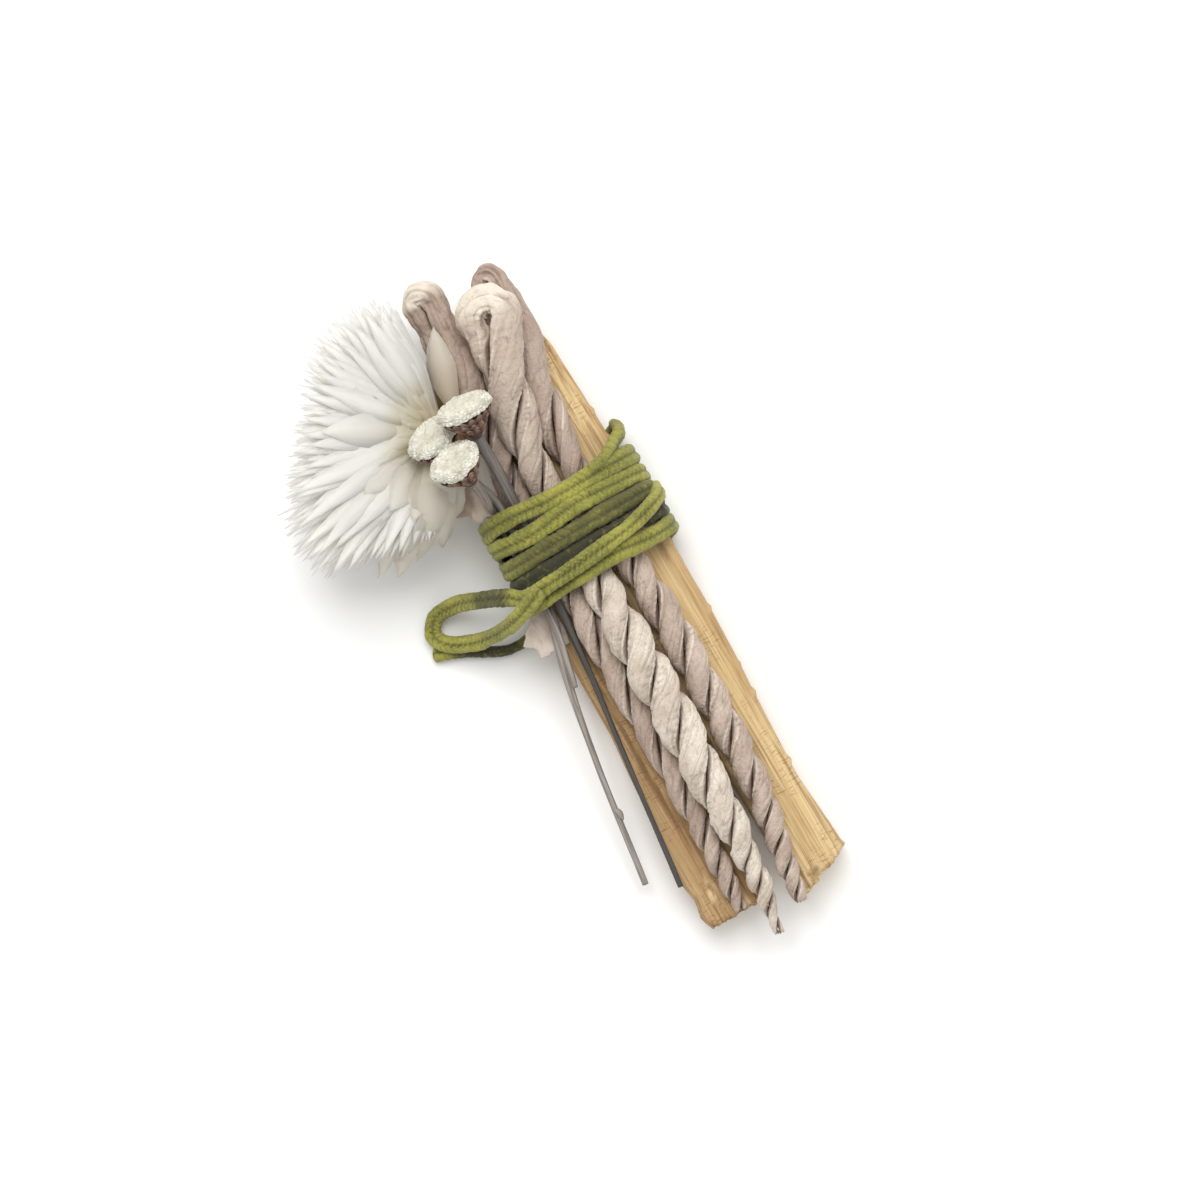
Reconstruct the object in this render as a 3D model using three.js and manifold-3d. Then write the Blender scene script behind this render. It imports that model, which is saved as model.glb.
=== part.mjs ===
// A tied bundle lying on a table: two split wood sticks, three looped ropes of twisted paper, a dried
// everlasting flower, three dried button flowers on their stalks, and a green cord tie.
// Millimetres, +Z up. +Y runs along the sticks towards the rope loops, and the table is the plane z = 0.
import * as THREE from "three";
import { mergeVertices } from "three/addons/utils/BufferGeometryUtils.js";
import Module from "manifold-3d";

const wasm = await Module();
wasm.setup();

const V = (x, y, z) => new THREE.Vector3(x, y, z);

// Driving dimensions

const GAP = 0.3; // clearance kept between pieces that touch
const STEM_RADIUS = 0.55;
const STEM_SIDES = 7;

// The tie's cord, and how its turns lie along the sticks
const CORD = { width: 2.8, thickness: 1.7 };
const TURNS_LEFT = [18.5, 15.1, 11.8, 8.5, 5.2]; // y where each turn comes up the left side
const TAIL_SIDE = 1.6; // y where the tail comes out on the left
const TURNS_RIGHT = [22.6, 18.3, 15.0, 11.7, 8.4, 5.2]; // y where it goes down the right side
const WRAP_START = 5; // outline point at which the tucked end begins, over the right rope
const WRAP_END = 11; // outline point at which the last turn goes on as the tail, under the right stick

// Outline of what the tie holds, seen along the sticks as [x, z], from the left side over the top
const HELD_OUTLINE = [
  [0.5, 7.2], [0.55, 12.0], [2.0, 14.4], [6.6, 16.7], [12.4, 18.3], [18.4, 17.4], [22.2, 15.0],
  [25.0, 12.0], [25.55, 7.2], [25.4, 3.7], [24.4, 2.25], [22.0, 1.8], [12.5, 1.75], [4.0, 1.8],
  [1.7, 2.2], [0.65, 3.7],
];

// Each split stick by sections along it: its left and right edges, its underside and its top
const STICKS = {
  stick_left: [
    { y: -54.6, left: -0.9, right: 9.7, under: 0, top: 8.2 },
    { y: -30, left: 0.5, right: 10.3, under: 0, top: 8.7 },
    { y: -12, left: 0.9, right: 10.8, under: 0, top: 9.2 },
    { y: -1.5, left: 1.2, right: 11.1, under: 2.1, top: 9.7 },
    { y: 24, left: 1.4, right: 11.2, under: 2.2, top: 9.9 },
    { y: 46.5, left: 2.6, right: 11.0, under: 3.0, top: 9.0 },
  ],
  stick_right: [
    { y: -55.6, left: 14.4, right: 24.4, under: 0, top: 9.4, slant: 1.7 },
    { y: -30, left: 13.9, right: 24.1, under: 0, top: 9.9 },
    { y: -12, left: 13.5, right: 24.8, under: 0, top: 10.4 },
    { y: -1.5, left: 13.3, right: 25.1, under: 2.1, top: 10.9 },
    { y: 24, left: 13.3, right: 24.6, under: 2.2, top: 10.8 },
    { y: 48, left: 13.8, right: 22.6, under: 3.2, top: 9.0 },
  ],
};

// Each rope: the middle line from its tip to where the loop opens, half its width along that line,
// the y of each place where one strand crosses in front of the other, and the loop's hairpin
const ROPES = {
  rope_left: {
    line: [
      V(5.0, -54.3, 9.9), V(5.4, -49, 10.6), V(5.9, -42, 11.0), V(6.5, -30, 11.6), V(6.7, -14, 12.1),
      V(6.8, -1, 12.5), V(6.7, 6, 12.4), V(6.7, 20, 12.4), V(7.6, 29, 12.7), V(9.2, 44, 12.7),
    ],
    half: [1.0, 1.7, 2.0, 2.4, 2.6, 2.6, 2.4, 2.4, 2.7, 3.0],
    crossings: [37, 27, 18, 9, 0, -10, -20, -30, -38, -43.5, -48.3, -52.3],
    loop: { bend: V(9.4, 55.4, 12.7), halfWidth: 1.75, strand: 1.75 },
  },
  rope_front: {
    line: [
      V(8.5, -60.5, 9.9), V(8.9, -57, 10.4), V(9.7, -53, 11.3), V(9.9, -48, 12.6), V(10.5, -42, 14.4),
      V(10.6, -35, 15.8), V(11.0, -27, 16.8), V(11.3, -16, 17.4), V(11.3, -6, 17.1), V(11.5, 0, 16.2),
      V(11.6, 6, 15.0), V(11.7, 20, 15.0), V(12.2, 28, 16.4), V(16.6, 43.5, 17.8),
    ],
    half: [0.8, 1.2, 1.9, 2.1, 2.8, 3.2, 3.5, 3.6, 3.5, 3.1, 2.5, 2.5, 2.9, 3.1],
    crossings: [38, 26, 17, 7.5, -2.5, -11, -18.8, -28, -37.5, -44.7, -49.5, -53.8, -58],
    loop: { bend: V(17.6, 48.8, 18.2), halfWidth: 2.6, strand: 1.95 },
  },
  rope_right: {
    line: [
      V(14.1, -57.6, 11.0), V(14.9, -52, 11.7), V(15.9, -46, 12.1), V(17.0, -38, 12.6), V(17.7, -26, 13.2),
      V(18.0, -8, 13.8), V(17.7, 2, 13.8), V(17.4, 20, 13.6), V(17.9, 29, 13.6), V(20.6, 43, 12.9),
    ],
    half: [1.2, 1.8, 2.1, 2.5, 2.8, 3.0, 2.6, 2.5, 2.6, 2.7],
    crossings: [34.5, 22, 14, 6.5, -1, -9, -17.5, -25.2, -32.7, -40.3, -45.6, -49.9, -53.9],
    loop: { bend: V(20.4, 53.2, 12.5), halfWidth: 1.6, strand: 1.7 },
  },
};
const STRAND = { offset: 0.44, radius: 0.56, sides: 8, steps: 44, bendSteps: 4 }; // in a rope's half widths

// The everlasting flower: a fan of papery bracts spreading from its base, as far as their tips
const FLOWER = {
  base: V(1.6, 36, 14.6),
  facing: 160, // degrees from +X, seen from above
  sideSpread: 84,
  rise: 44,
  droop: 31,
  reach: [18, 23.6, 30.4, 28.5, 24.5, 23, 24.4, 24.6, 22.5], // bract lengths, from the tie round to the loops
  columns: 16,
  rows: 8,
};
const FLOWER_FLOOR = 0.05; // lowest bract tips above the table

// The button flowers: middle of the cap's underside, and the way the cap faces
const BUTTONS = {
  upper: { at: V(6.7, 36.2, 26.4), facing: V(0.05, 0.92, 0.39), radius: 4.7 },
  middle: { at: V(0.1, 35.0, 20.6), facing: V(-0.15, 0.8, 0.58), radius: 4.4 },
  lower: { at: V(1.4, 29.6, 27.6), facing: V(-0.15, 0.8, 0.58), radius: 4.3 },
};
const CAP_HEIGHT = 1.9;
const CUP_HEIGHT = 4.3;

// Routes of the stalks, from the flower down through the tie
const STALKS = {
  flower_stem: [
    V(2.6, 34.6, 13.9), V(3.3, 29, 12.5), V(3.15, 22, 11.0), V(3.05, 16, 10.95), V(3.0, 5, 10.95),
    V(1.9, 0.5, 11.5), V(0.3, -4.5, 11.3), V(-1.1, -10, 10.2), V(-2.5, -17, 8.8), V(-4.0, -26, 7.0),
    V(-6.5, -43.6, 4.0),
  ],
  button_stem_upper: [
    V(6.2, 29.4, 21.8), V(6.4, 25.5, 18.9), V(6.3, 22.5, 16.9), V(6.1, 20, 15.75), V(5.9, 16, 15.5),
    V(5.2, 10, 15.0), V(4.4, 5, 14.2), V(3.8, -1, 12.9), V(2.7, -11, 10.9), V(1.4, -21, 10.2),
    V(0.2, -31, 9.9), V(-0.8, -40, 9.7), V(-1.6, -46.4, 9.5),
  ],
  button_stem_middle: [
    V(1.1, 29.6, 16.9), V(2.6, 26, 15.6), V(3.6, 23, 14.5), V(3.9, 20.5, 14.1), V(3.5, 16, 13.7),
    V(3.3, 5, 12.9),
  ],
  button_stem_lower: [
    V(2.35, 24.8, 22.2), V(2.5, 22.6, 17.2), V(2.2, 20.2, 13.4), V(2.05, 16, 12.45), V(2.05, 5, 12.45),
    V(1.7, -1, 12.9), V(0.6, -6.5, 12.3), V(-0.2, -10, 11.5),
  ],
  twig_between: [
    V(12.2, 39, 6.5), V(12.2, 10, 6.3), V(12.3, -15, 6.2), V(12.6, -34, 6.5), V(13.0, -41, 6.7),
  ],
};

// Torn dry leaves caught under the tie, as outlines seen from above
const LEAF_THICKNESS = 0.35;
const LEAVES = {
  leaf_upper: {
    lift: 14.6,
    outline: [
      [-0.6, 20.8], [0.9, 21.4], [0.6, 24.2], [-1.9, 26.4], [-4.6, 25.4], [-3.4, 23.2], [-1.2, 22.3],
    ],
  },
  leaf_lower: {
    lift: 10.3,
    outline: [
      [2.5, 3.2], [-1.4, 1.8], [-3.8, -0.1], [-2.4, -1.0], [-2.1, -3.1], [0.5, -3.2], [3.1, -2.5],
    ],
  },
};

// The tie's loop: its free part on the left, then over the turns to the right side
const LOOP_FREE = [
  V(2.7, 6.5, 20.2), V(0.6, 5.4, 19.5), V(-2.8, 4.2, 16.4), V(-7, 3.8, 9.8), V(-11.5, 4.6, 4.9),
  V(-14.9, 6.4, 3.2), V(-16.2, 8.8, 1.7), V(-14.6, 11.1, 1.5), V(-11, 11.3, 4.3), V(-6, 9.6, 10.2),
  V(-2.2, 7.8, 14.6),
];
const LOOP_OVER = { from: 0.125, to: 0.47, steps: 7, yFrom: 6.3, yTo: 11.4 };
const LOOP_STEPS = 40;

// The tie's tail, from under the right stick out over the table on the left
const TAIL = [
  V(21.2, 4.1, 0.92), V(12.5, 2.9, 0.92), V(4, 1.8, 0.92), V(-0.9, 0.9, 0.95), V(-3.5, 0.5, 0.98),
  V(-6.6, 0.6, 0.98), V(-10, 2.1, 0.98), V(-13.5, 4.1, 0.98), V(-18, 6.1, 0.98),
];
const TAIL_STEPS = 20;

const COLOURS = {
  wood: { color: 0xc9a46a, roughness: 0.75, metalness: 0 },
  paper: { color: 0xb9a898, roughness: 0.8, metalness: 0 },
  bract: { color: 0xf1efe4, roughness: 0.6, metalness: 0 },
  cap: { color: 0xd9d5c2, roughness: 0.95, metalness: 0 },
  cup: { color: 0x5b3227, roughness: 0.85, metalness: 0 },
  stalk: { color: 0x7a7067, roughness: 0.8, metalness: 0 },
  leaf: { color: 0xb7a99b, roughness: 0.8, metalness: 0 },
  cord: { color: 0x80812a, roughness: 0.9, metalness: 0 },
};

// Shared helpers

const bundle = new THREE.Group();

function add(name, geometry, finish) {
  const mesh = new THREE.Mesh(geometry, new THREE.MeshStandardMaterial(COLOURS[finish]));
  mesh.name = name;
  bundle.add(mesh);
  return mesh;
}

// Six times the volume inside a triangle list, positive when the faces point out
function signedVolume(points, index) {
  let sum = 0;
  for (let i = 0; i < index.length; i += 3) {
    const [a, b, c] = [points[index[i]], points[index[i + 1]], points[index[i + 2]]];
    sum += a.dot(new THREE.Vector3().crossVectors(b, c));
  }
  return sum;
}

function meshFrom(points, index) {
  if (signedVolume(points, index) < 0) index.reverse();
  return new THREE.BufferGeometry().setFromPoints(points).setIndex(index);
}

// One closed skin over a row of rings, with a fan over each end
function loft(rings) {
  const sides = rings[0].length;
  const points = rings.flat();
  const index = [];
  for (let r = 0; r + 1 < rings.length; r++) {
    for (let i = 0; i < sides; i++) {
      const [a, b] = [r * sides + i, r * sides + ((i + 1) % sides)];
      index.push(a, b, b + sides, a, b + sides, a + sides);
    }
  }
  for (const [r, turn] of [[0, 1], [rings.length - 1, 0]]) {
    const middle = points.length;
    points.push(rings[r].reduce((sum, p) => sum.add(p), V(0, 0, 0)).divideScalar(sides));
    for (let i = 0; i < sides; i++) {
      const [a, b] = [r * sides + i, r * sides + ((i + 1) % sides)];
      index.push(middle, turn ? b : a, turn ? a : b);
    }
  }
  return meshFrom(points, index);
}

const curveThrough = (points) => new THREE.CatmullRomCurve3(points, false, "centripetal");

// The value at a share from 0 to 1 along a list of values, straight between them
function along(values, share) {
  const place = THREE.MathUtils.clamp(share, 0, 1) * (values.length - 1);
  const i = Math.min(Math.floor(place), values.length - 2);
  return THREE.MathUtils.lerp(values[i], values[i + 1], place - i);
}

// Wood sticks

function stickSection({ y, left, right, under, top, slant = 0 }) {
  const wide = right - left;
  const tall = top - under;
  const profile = [
    [0.1, 0], [0.9, 0], [1, 0.2], [0.985, 0.7], [0.9, 0.93],
    [0.6, 1], [0.3, 0.97], [0.07, 0.9], [0, 0.6], [0.01, 0.2],
  ];
  return profile.map(([u, w]) => V(left + u * wide, y + slant * (2 * u - 1), under + w * tall));
}

for (const [name, sections] of Object.entries(STICKS)) add(name, loft(sections.map(stickSection)), "wood");

// Paper ropes

// Turn of the first strand about the rope at a place y, in radians: 0 is on the right, a quarter is in front
function strandTurn(crossings, loopStart, y) {
  const heights = [loopStart, ...crossings];
  const quarters = [0, ...crossings.map((_, i) => 1 + 2 * i)];
  let i = heights.findIndex((h) => y >= h);
  if (i === 0) return 0;
  if (i < 0) i = heights.length - 1;
  const share = (heights[i - 1] - y) / (heights[i - 1] - heights[i]);
  return (Math.PI / 2) * THREE.MathUtils.lerp(quarters[i - 1], quarters[i], share);
}

// Rings of one strand from its tip to the top of the loop; side is 1 for the strand that starts on the right
function strandRings(rope, side) {
  const line = curveThrough(rope.line);
  const opening = rope.line.at(-1);
  const rings = [];
  for (let s = 0; s <= STRAND.steps; s++) {
    const share = s / STRAND.steps;
    const middle = line.getPoint(share);
    const half = along(rope.half, share);
    const turn = strandTurn(rope.crossings, opening.y, middle.y);
    const out = V(side * Math.cos(turn), 0, side * Math.sin(turn));
    const across = V(-out.z, 0, out.x).multiplyScalar(side);
    const ring = [];
    for (let i = 0; i < STRAND.sides; i++) {
      const angle = (2 * Math.PI * (i + 0.5)) / STRAND.sides;
      const reach = Math.max(GAP / 3, half * (STRAND.offset + STRAND.radius * Math.cos(angle)));
      const shift = half * STRAND.radius * 1.22 * Math.sin(angle);
      ring.push(middle.clone().addScaledVector(out, reach).addScaledVector(across, shift));
    }
    rings.push(ring);
  }
  return rings;
}

// Rings round the hairpin bend, from the right strand's side over the top to the left strand's side
function bendRings({ bend, halfWidth, strand }) {
  const rings = [];
  for (let s = 0; s <= 2 * STRAND.bendSteps; s++) {
    const angle = (Math.PI * s) / (2 * STRAND.bendSteps);
    const out = V(Math.cos(angle), Math.sin(angle), 0);
    const middle = bend.clone().addScaledVector(out, halfWidth);
    const ring = [];
    for (let i = 0; i < STRAND.sides; i++) {
      const around = (2 * Math.PI * (i + 0.5)) / STRAND.sides;
      const reach = Math.max(GAP / 2 - halfWidth, strand * Math.cos(around));
      ring.push(middle.clone().addScaledVector(out, reach).add(V(0, 0, strand * Math.sin(around))));
    }
    rings.push(ring);
  }
  return rings;
}

for (const [name, rope] of Object.entries(ROPES)) {
  const rings = [...strandRings(rope, 1), ...bendRings(rope.loop), ...strandRings(rope, -1).reverse()];
  add(name, loft(rings), "paper");
}

// Flower head

function solidOf(geometry) {
  const bare = new THREE.BufferGeometry().setAttribute("position", geometry.getAttribute("position"));
  if (geometry.index) bare.setIndex(geometry.index);
  const merged = mergeVertices(bare, 1e-4);
  return new wasm.Manifold(new wasm.Mesh({
    numProp: 3,
    vertProperties: new Float32Array(merged.attributes.position.array),
    triVerts: new Uint32Array(merged.index.array),
  }));
}

function geometryOf(solid) {
  const mesh = solid.getMesh();
  return new THREE.BufferGeometry()
    .setAttribute("position", new THREE.BufferAttribute(mesh.vertProperties, 3))
    .setIndex(new THREE.BufferAttribute(mesh.triVerts, 1));
}

function block(low, high) {
  const size = high.clone().sub(low);
  const box = new THREE.BoxGeometry(size.x, size.y, size.z);
  box.deleteAttribute("normal");
  box.deleteAttribute("uv");
  return solidOf(box.translate(...low.clone().add(high).divideScalar(2).toArray()));
}

// The space the bracts fill: a fan-shaped dome with its point at the flower's base
function bractSpace() {
  const { base, facing, sideSpread, rise, droop, reach, columns, rows } = FLOWER;
  const points = [base.clone()];
  const at = (c, r) => 1 + c * (rows + 1) + r;
  for (let c = 0; c <= columns; c++) {
    const side = THREE.MathUtils.degToRad(facing + sideSpread * (1 - (2 * c) / columns));
    for (let r = 0; r <= rows; r++) {
      const lift = THREE.MathUtils.degToRad(THREE.MathUtils.lerp(-droop, rise, r / rows));
      const length = along(reach, c / columns);
      points.push(V(
        base.x + length * Math.cos(lift) * Math.cos(side),
        base.y + length * Math.cos(lift) * Math.sin(side),
        Math.max(FLOWER_FLOOR, base.z + length * Math.sin(lift)),
      ));
    }
  }
  const index = [];
  for (let c = 0; c < columns; c++) {
    for (let r = 0; r < rows; r++) {
      index.push(at(c, r), at(c + 1, r), at(c + 1, r + 1), at(c, r), at(c + 1, r + 1), at(c, r + 1));
    }
    index.push(0, at(c + 1, 0), at(c, 0), 0, at(c, rows), at(c + 1, rows));
  }
  for (let r = 0; r < rows; r++) {
    index.push(0, at(0, r), at(0, r + 1), 0, at(columns, r + 1), at(columns, r));
  }
  return meshFrom(points, index);
}

const besideSticks = block(V(0.4, 10, -5), V(15, 47.5, 10.6)); // room for the left stick
const besideRope = block(V(4.6, 10, -5), V(15, 65, 19)); // room for the left rope and its loop
const underButtons = block(V(-6.5, 18, 14.4), V(15, 39.6, 50)); // room for the button flowers
const besideTie = block(V(-5, -5, -5), V(15, 25.5, 50)); // room for the tie and the upper leaf
const flowerSolid = [besideSticks, besideRope, underButtons, besideTie].reduce(
  (solid, room) => solid.subtract(room), solidOf(bractSpace()));
add("flower_head", geometryOf(flowerSolid), "bract");

// Button flowers

const lathe = (profile) => new THREE.LatheGeometry(profile.map(([r, h]) => new THREE.Vector2(r, h)), 14);

for (const [name, { at, facing, radius }] of Object.entries(BUTTONS)) {
  const cap = lathe([
    [0, 0], [0.9 * radius, 0.1], [radius, 0.7], [0.85 * radius, 1.6], [0.45 * radius, CAP_HEIGHT], [0, 1.6],
  ]);
  const cup = lathe([
    [0, -CUP_HEIGHT], [0.8, 0.1 - CUP_HEIGHT], [0.45 * radius, -2.5],
    [0.75 * radius, -1.1], [0.84 * radius, -GAP], [0, -GAP],
  ]);
  for (const [part, geometry] of [["cap", cap], ["cup", cup]]) {
    const mesh = add(`button_${part}_${name}`, geometry, part);
    mesh.quaternion.setFromUnitVectors(V(0, 1, 0), facing.clone().normalize());
    mesh.position.copy(at);
  }
}

// Stalks

const stemSection = new THREE.Shape(Array.from({ length: STEM_SIDES }, (_, i) => {
  const angle = (2 * Math.PI * i) / STEM_SIDES;
  return new THREE.Vector2(STEM_RADIUS * Math.cos(angle), STEM_RADIUS * Math.sin(angle));
}));

for (const [name, route] of Object.entries(STALKS)) {
  const sweep = { steps: 2 * (route.length - 1), extrudePath: curveThrough(route), bevelEnabled: false };
  add(name, new THREE.ExtrudeGeometry(stemSection, sweep), "stalk");
}

// Leaves

for (const [name, { lift, outline }] of Object.entries(LEAVES)) {
  const shape = new THREE.Shape(outline.map(([x, y]) => new THREE.Vector2(x, y)));
  const sheet = new THREE.ExtrudeGeometry(shape, { depth: LEAF_THICKNESS, bevelEnabled: false });
  add(name, sheet, "leaf").position.z = lift;
}

// Cord tie

const held = new THREE.CatmullRomCurve3(HELD_OUTLINE.map(([x, z]) => V(x, 0, z)), true, "centripetal");

// A place on the held outline, pushed out by a distance, with its outward direction
function onHeld(turn, out) {
  const share = turn - Math.floor(turn);
  const ahead = held.getTangent(share);
  const outward = V(-ahead.z, 0, ahead.x);
  return { point: held.getPoint(share).addScaledVector(outward, out), outward };
}

// A flat ring of cord: its width lies along wide and its thickness along thick
function cordRing(point, wide, thick) {
  const [w, t] = [CORD.width / 2, CORD.thickness / 2];
  const section = [
    [w, -0.4 * t], [w, 0.4 * t], [0.7 * w, t], [-0.7 * w, t],
    [-w, 0.4 * t], [-w, -0.4 * t], [-0.7 * w, -t], [0.7 * w, -t],
  ];
  return section.map(([a, b]) => point.clone().addScaledVector(wide, a).addScaledVector(thick, b));
}

// Where a turn lies along the sticks: over the top to the right side, then under them to the left side
function turnHeight(turn) {
  const lap = Math.floor(turn);
  const share = 2 * (turn - lap);
  const left = TURNS_LEFT[lap - 1] ?? TURNS_RIGHT[0] - 1.1;
  const nextLeft = TURNS_LEFT[lap] ?? TAIL_SIDE;
  const right = TURNS_RIGHT[lap];
  if (share < 1) return THREE.MathUtils.lerp(left, right, THREE.MathUtils.smootherstep(share, 0, 1));
  return THREE.MathUtils.lerp(right, nextLeft, THREE.MathUtils.smootherstep(share, 1, 2));
}

const stepsPerTurn = HELD_OUTLINE.length;
const wrapSteps = (TURNS_RIGHT.length - 1) * stepsPerTurn + WRAP_END - WRAP_START;
const wrapRings = Array.from({ length: wrapSteps + 1 }, (_, s) => {
  const turn = (WRAP_START + s) / stepsPerTurn;
  const { point, outward } = onHeld(turn, CORD.thickness / 2);
  return cordRing(point.setY(turnHeight(turn)), V(0, 1, 0), outward);
});
add("tie_wraps", loft(wrapRings), "cord");

// A free stretch of cord with its flat side turned towards upright
function freeCord(route, steps, upright) {
  const line = curveThrough(route);
  return loft(Array.from({ length: steps + 1 }, (_, s) => {
    const share = s / steps;
    const ahead = line.getTangent(share);
    const thick = upright(share).projectOnPlane(ahead).normalize();
    return cordRing(line.getPoint(share), new THREE.Vector3().crossVectors(ahead, thick), thick);
  }));
}

const overTurns = Array.from({ length: LOOP_OVER.steps + 1 }, (_, s) => {
  const share = s / LOOP_OVER.steps;
  const turn = THREE.MathUtils.lerp(LOOP_OVER.from, LOOP_OVER.to, share);
  const { point } = onHeld(turn, 1.5 * CORD.thickness + GAP);
  return point.setY(THREE.MathUtils.lerp(LOOP_OVER.yFrom, LOOP_OVER.yTo, share * share));
});
const loopRoute = [...LOOP_FREE, ...overTurns];
const onTheTurns = (LOOP_FREE.length - 1) / (loopRoute.length - 1);
function loopUpright(share) {
  if (share < onTheTurns) return V(0, 0, 1);
  return onHeld(THREE.MathUtils.mapLinear(share, onTheTurns, 1, LOOP_OVER.from, LOOP_OVER.to), 0).outward;
}
add("tie_loop", freeCord(loopRoute, LOOP_STEPS, loopUpright), "cord");
add("tie_tail", freeCord(TAIL, TAIL_STEPS, () => V(0, 0, 1)), "cord");

export default bundle;
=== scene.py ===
import itertools
import math

import bmesh
import bpy
import numpy as np
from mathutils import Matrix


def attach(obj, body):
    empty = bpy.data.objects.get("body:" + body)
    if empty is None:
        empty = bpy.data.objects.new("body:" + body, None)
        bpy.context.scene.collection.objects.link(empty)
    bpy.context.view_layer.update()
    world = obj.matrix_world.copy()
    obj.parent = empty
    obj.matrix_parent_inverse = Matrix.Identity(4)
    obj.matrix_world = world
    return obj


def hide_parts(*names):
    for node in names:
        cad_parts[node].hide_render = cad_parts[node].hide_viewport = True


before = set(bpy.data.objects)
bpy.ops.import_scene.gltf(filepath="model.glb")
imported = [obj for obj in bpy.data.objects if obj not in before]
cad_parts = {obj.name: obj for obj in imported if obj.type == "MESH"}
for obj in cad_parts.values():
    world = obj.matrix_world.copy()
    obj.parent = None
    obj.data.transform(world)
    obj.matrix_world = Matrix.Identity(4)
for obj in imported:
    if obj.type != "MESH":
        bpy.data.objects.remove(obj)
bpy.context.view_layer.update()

bpy.ops.object.select_all(action="DESELECT")
mm = 0.001  # shapes below are worked out in millimetres, and meshes are made in metres


# small helpers for shapes

def unit(vectors):
    return vectors / np.maximum(np.linalg.norm(vectors, axis=-1, keepdims=True), 1e-9)


def ease(value, low, high):  # 0 at low, 1 at high, smooth between
    share = np.clip((value - low) / (high - low), 0, 1)
    return share * share * (3 - 2 * share)


def lumps(where, size, seed=0):  # smooth noise from -1 to 1 with features about that size
    where = np.asarray(where, float) / size + 31.7 * seed
    cell = np.floor(where)
    part = where - cell
    part = part * part * (3 - 2 * part)
    spread = np.array([127.1, 311.7, 74.7])[:where.shape[-1]]
    total = 0
    for corner in itertools.product((0, 1), repeat=where.shape[-1]):
        mixed = np.sin((cell + corner) @ spread) * 43758.5453
        weight = np.prod(np.where(np.array(corner) > 0, part, 1 - part), axis=-1)
        total = total + weight * (mixed - np.floor(mixed))
    return 2 * total - 1


def smoothLine(knots, step):  # evenly spaced points on a smooth curve through the knots
    knots = np.asarray(knots, float)  # columns after x, y, z run along with the curve
    knots = np.vstack([2 * knots[0] - knots[1], knots, 2 * knots[-1] - knots[-2]])
    times = np.concatenate([[0], np.cumsum(np.sqrt(np.linalg.norm(np.diff(knots[:, :3], axis=0), axis=1)))])
    dense = []
    for i in range(1, len(knots) - 2):
        t = np.linspace(times[i], times[i + 1], 40, endpoint=False)[:, None]

        def between(a, b, start, end):
            return (a * (end - t) + b * (t - start)) / (end - start)

        pairs = [between(knots[k], knots[k + 1], times[k], times[k + 1]) for k in (i - 1, i, i + 1)]
        first = between(pairs[0], pairs[1], times[i - 1], times[i + 1])
        second = between(pairs[1], pairs[2], times[i], times[i + 2])
        dense.append(between(first, second, times[i], times[i + 1]))
    dense = np.vstack(dense + [knots[-2:-1]])
    walked = np.concatenate([[0], np.cumsum(np.linalg.norm(np.diff(dense[:, :3], axis=0), axis=1))])
    runs = np.linspace(0, walked[-1], int(round(walked[-1] / step)) + 1)
    return np.stack([np.interp(runs, walked, column) for column in dense.T], axis=1), runs


def track(values):  # places along one line, to read lumps from
    return np.stack([values, 0 * values], axis=-1)


def pointsOf(mesh):
    flat = np.empty(3 * len(mesh.vertices))
    mesh.vertices.foreach_get("co", flat)
    return flat.reshape(-1, 3)


def movePoints(mesh, place):  # place in mm
    mesh.vertices.foreach_set("co", (place * mm).ravel())
    mesh.update()


def keepMarks(mesh, marks):  # numbers kept at the points, for the materials
    for mark, values in marks.items():
        attribute = mesh.attributes.new(mark, "FLOAT", "POINT")
        attribute.data.foreach_set("value", np.asarray(values, np.float32))


def newMesh(name, points, faces, uv=None, marks=None):  # points in mm
    mesh = bpy.data.meshes.new(name)
    mesh.from_pydata((np.asarray(points) * mm).tolist(), [], faces)
    keepMarks(mesh, marks or {})
    if uv is not None:
        mesh.uv_layers.new(name="run").data.foreach_set("uv", np.asarray(uv, np.float32).ravel())
    piece = bpy.data.objects.new(name, mesh)
    bpy.context.collection.objects.link(piece)
    return piece


def faceOut(piece):  # turns the faces of a closed piece outwards
    bpy.ops.object.select_all(action="DESELECT")
    bpy.context.view_layer.objects.active = piece
    piece.select_set(True)
    bpy.ops.object.mode_set(mode="EDIT")
    bpy.ops.mesh.select_all(action="SELECT")
    bpy.ops.mesh.normals_make_consistent(inside=False)
    bpy.ops.object.mode_set(mode="OBJECT")


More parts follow.
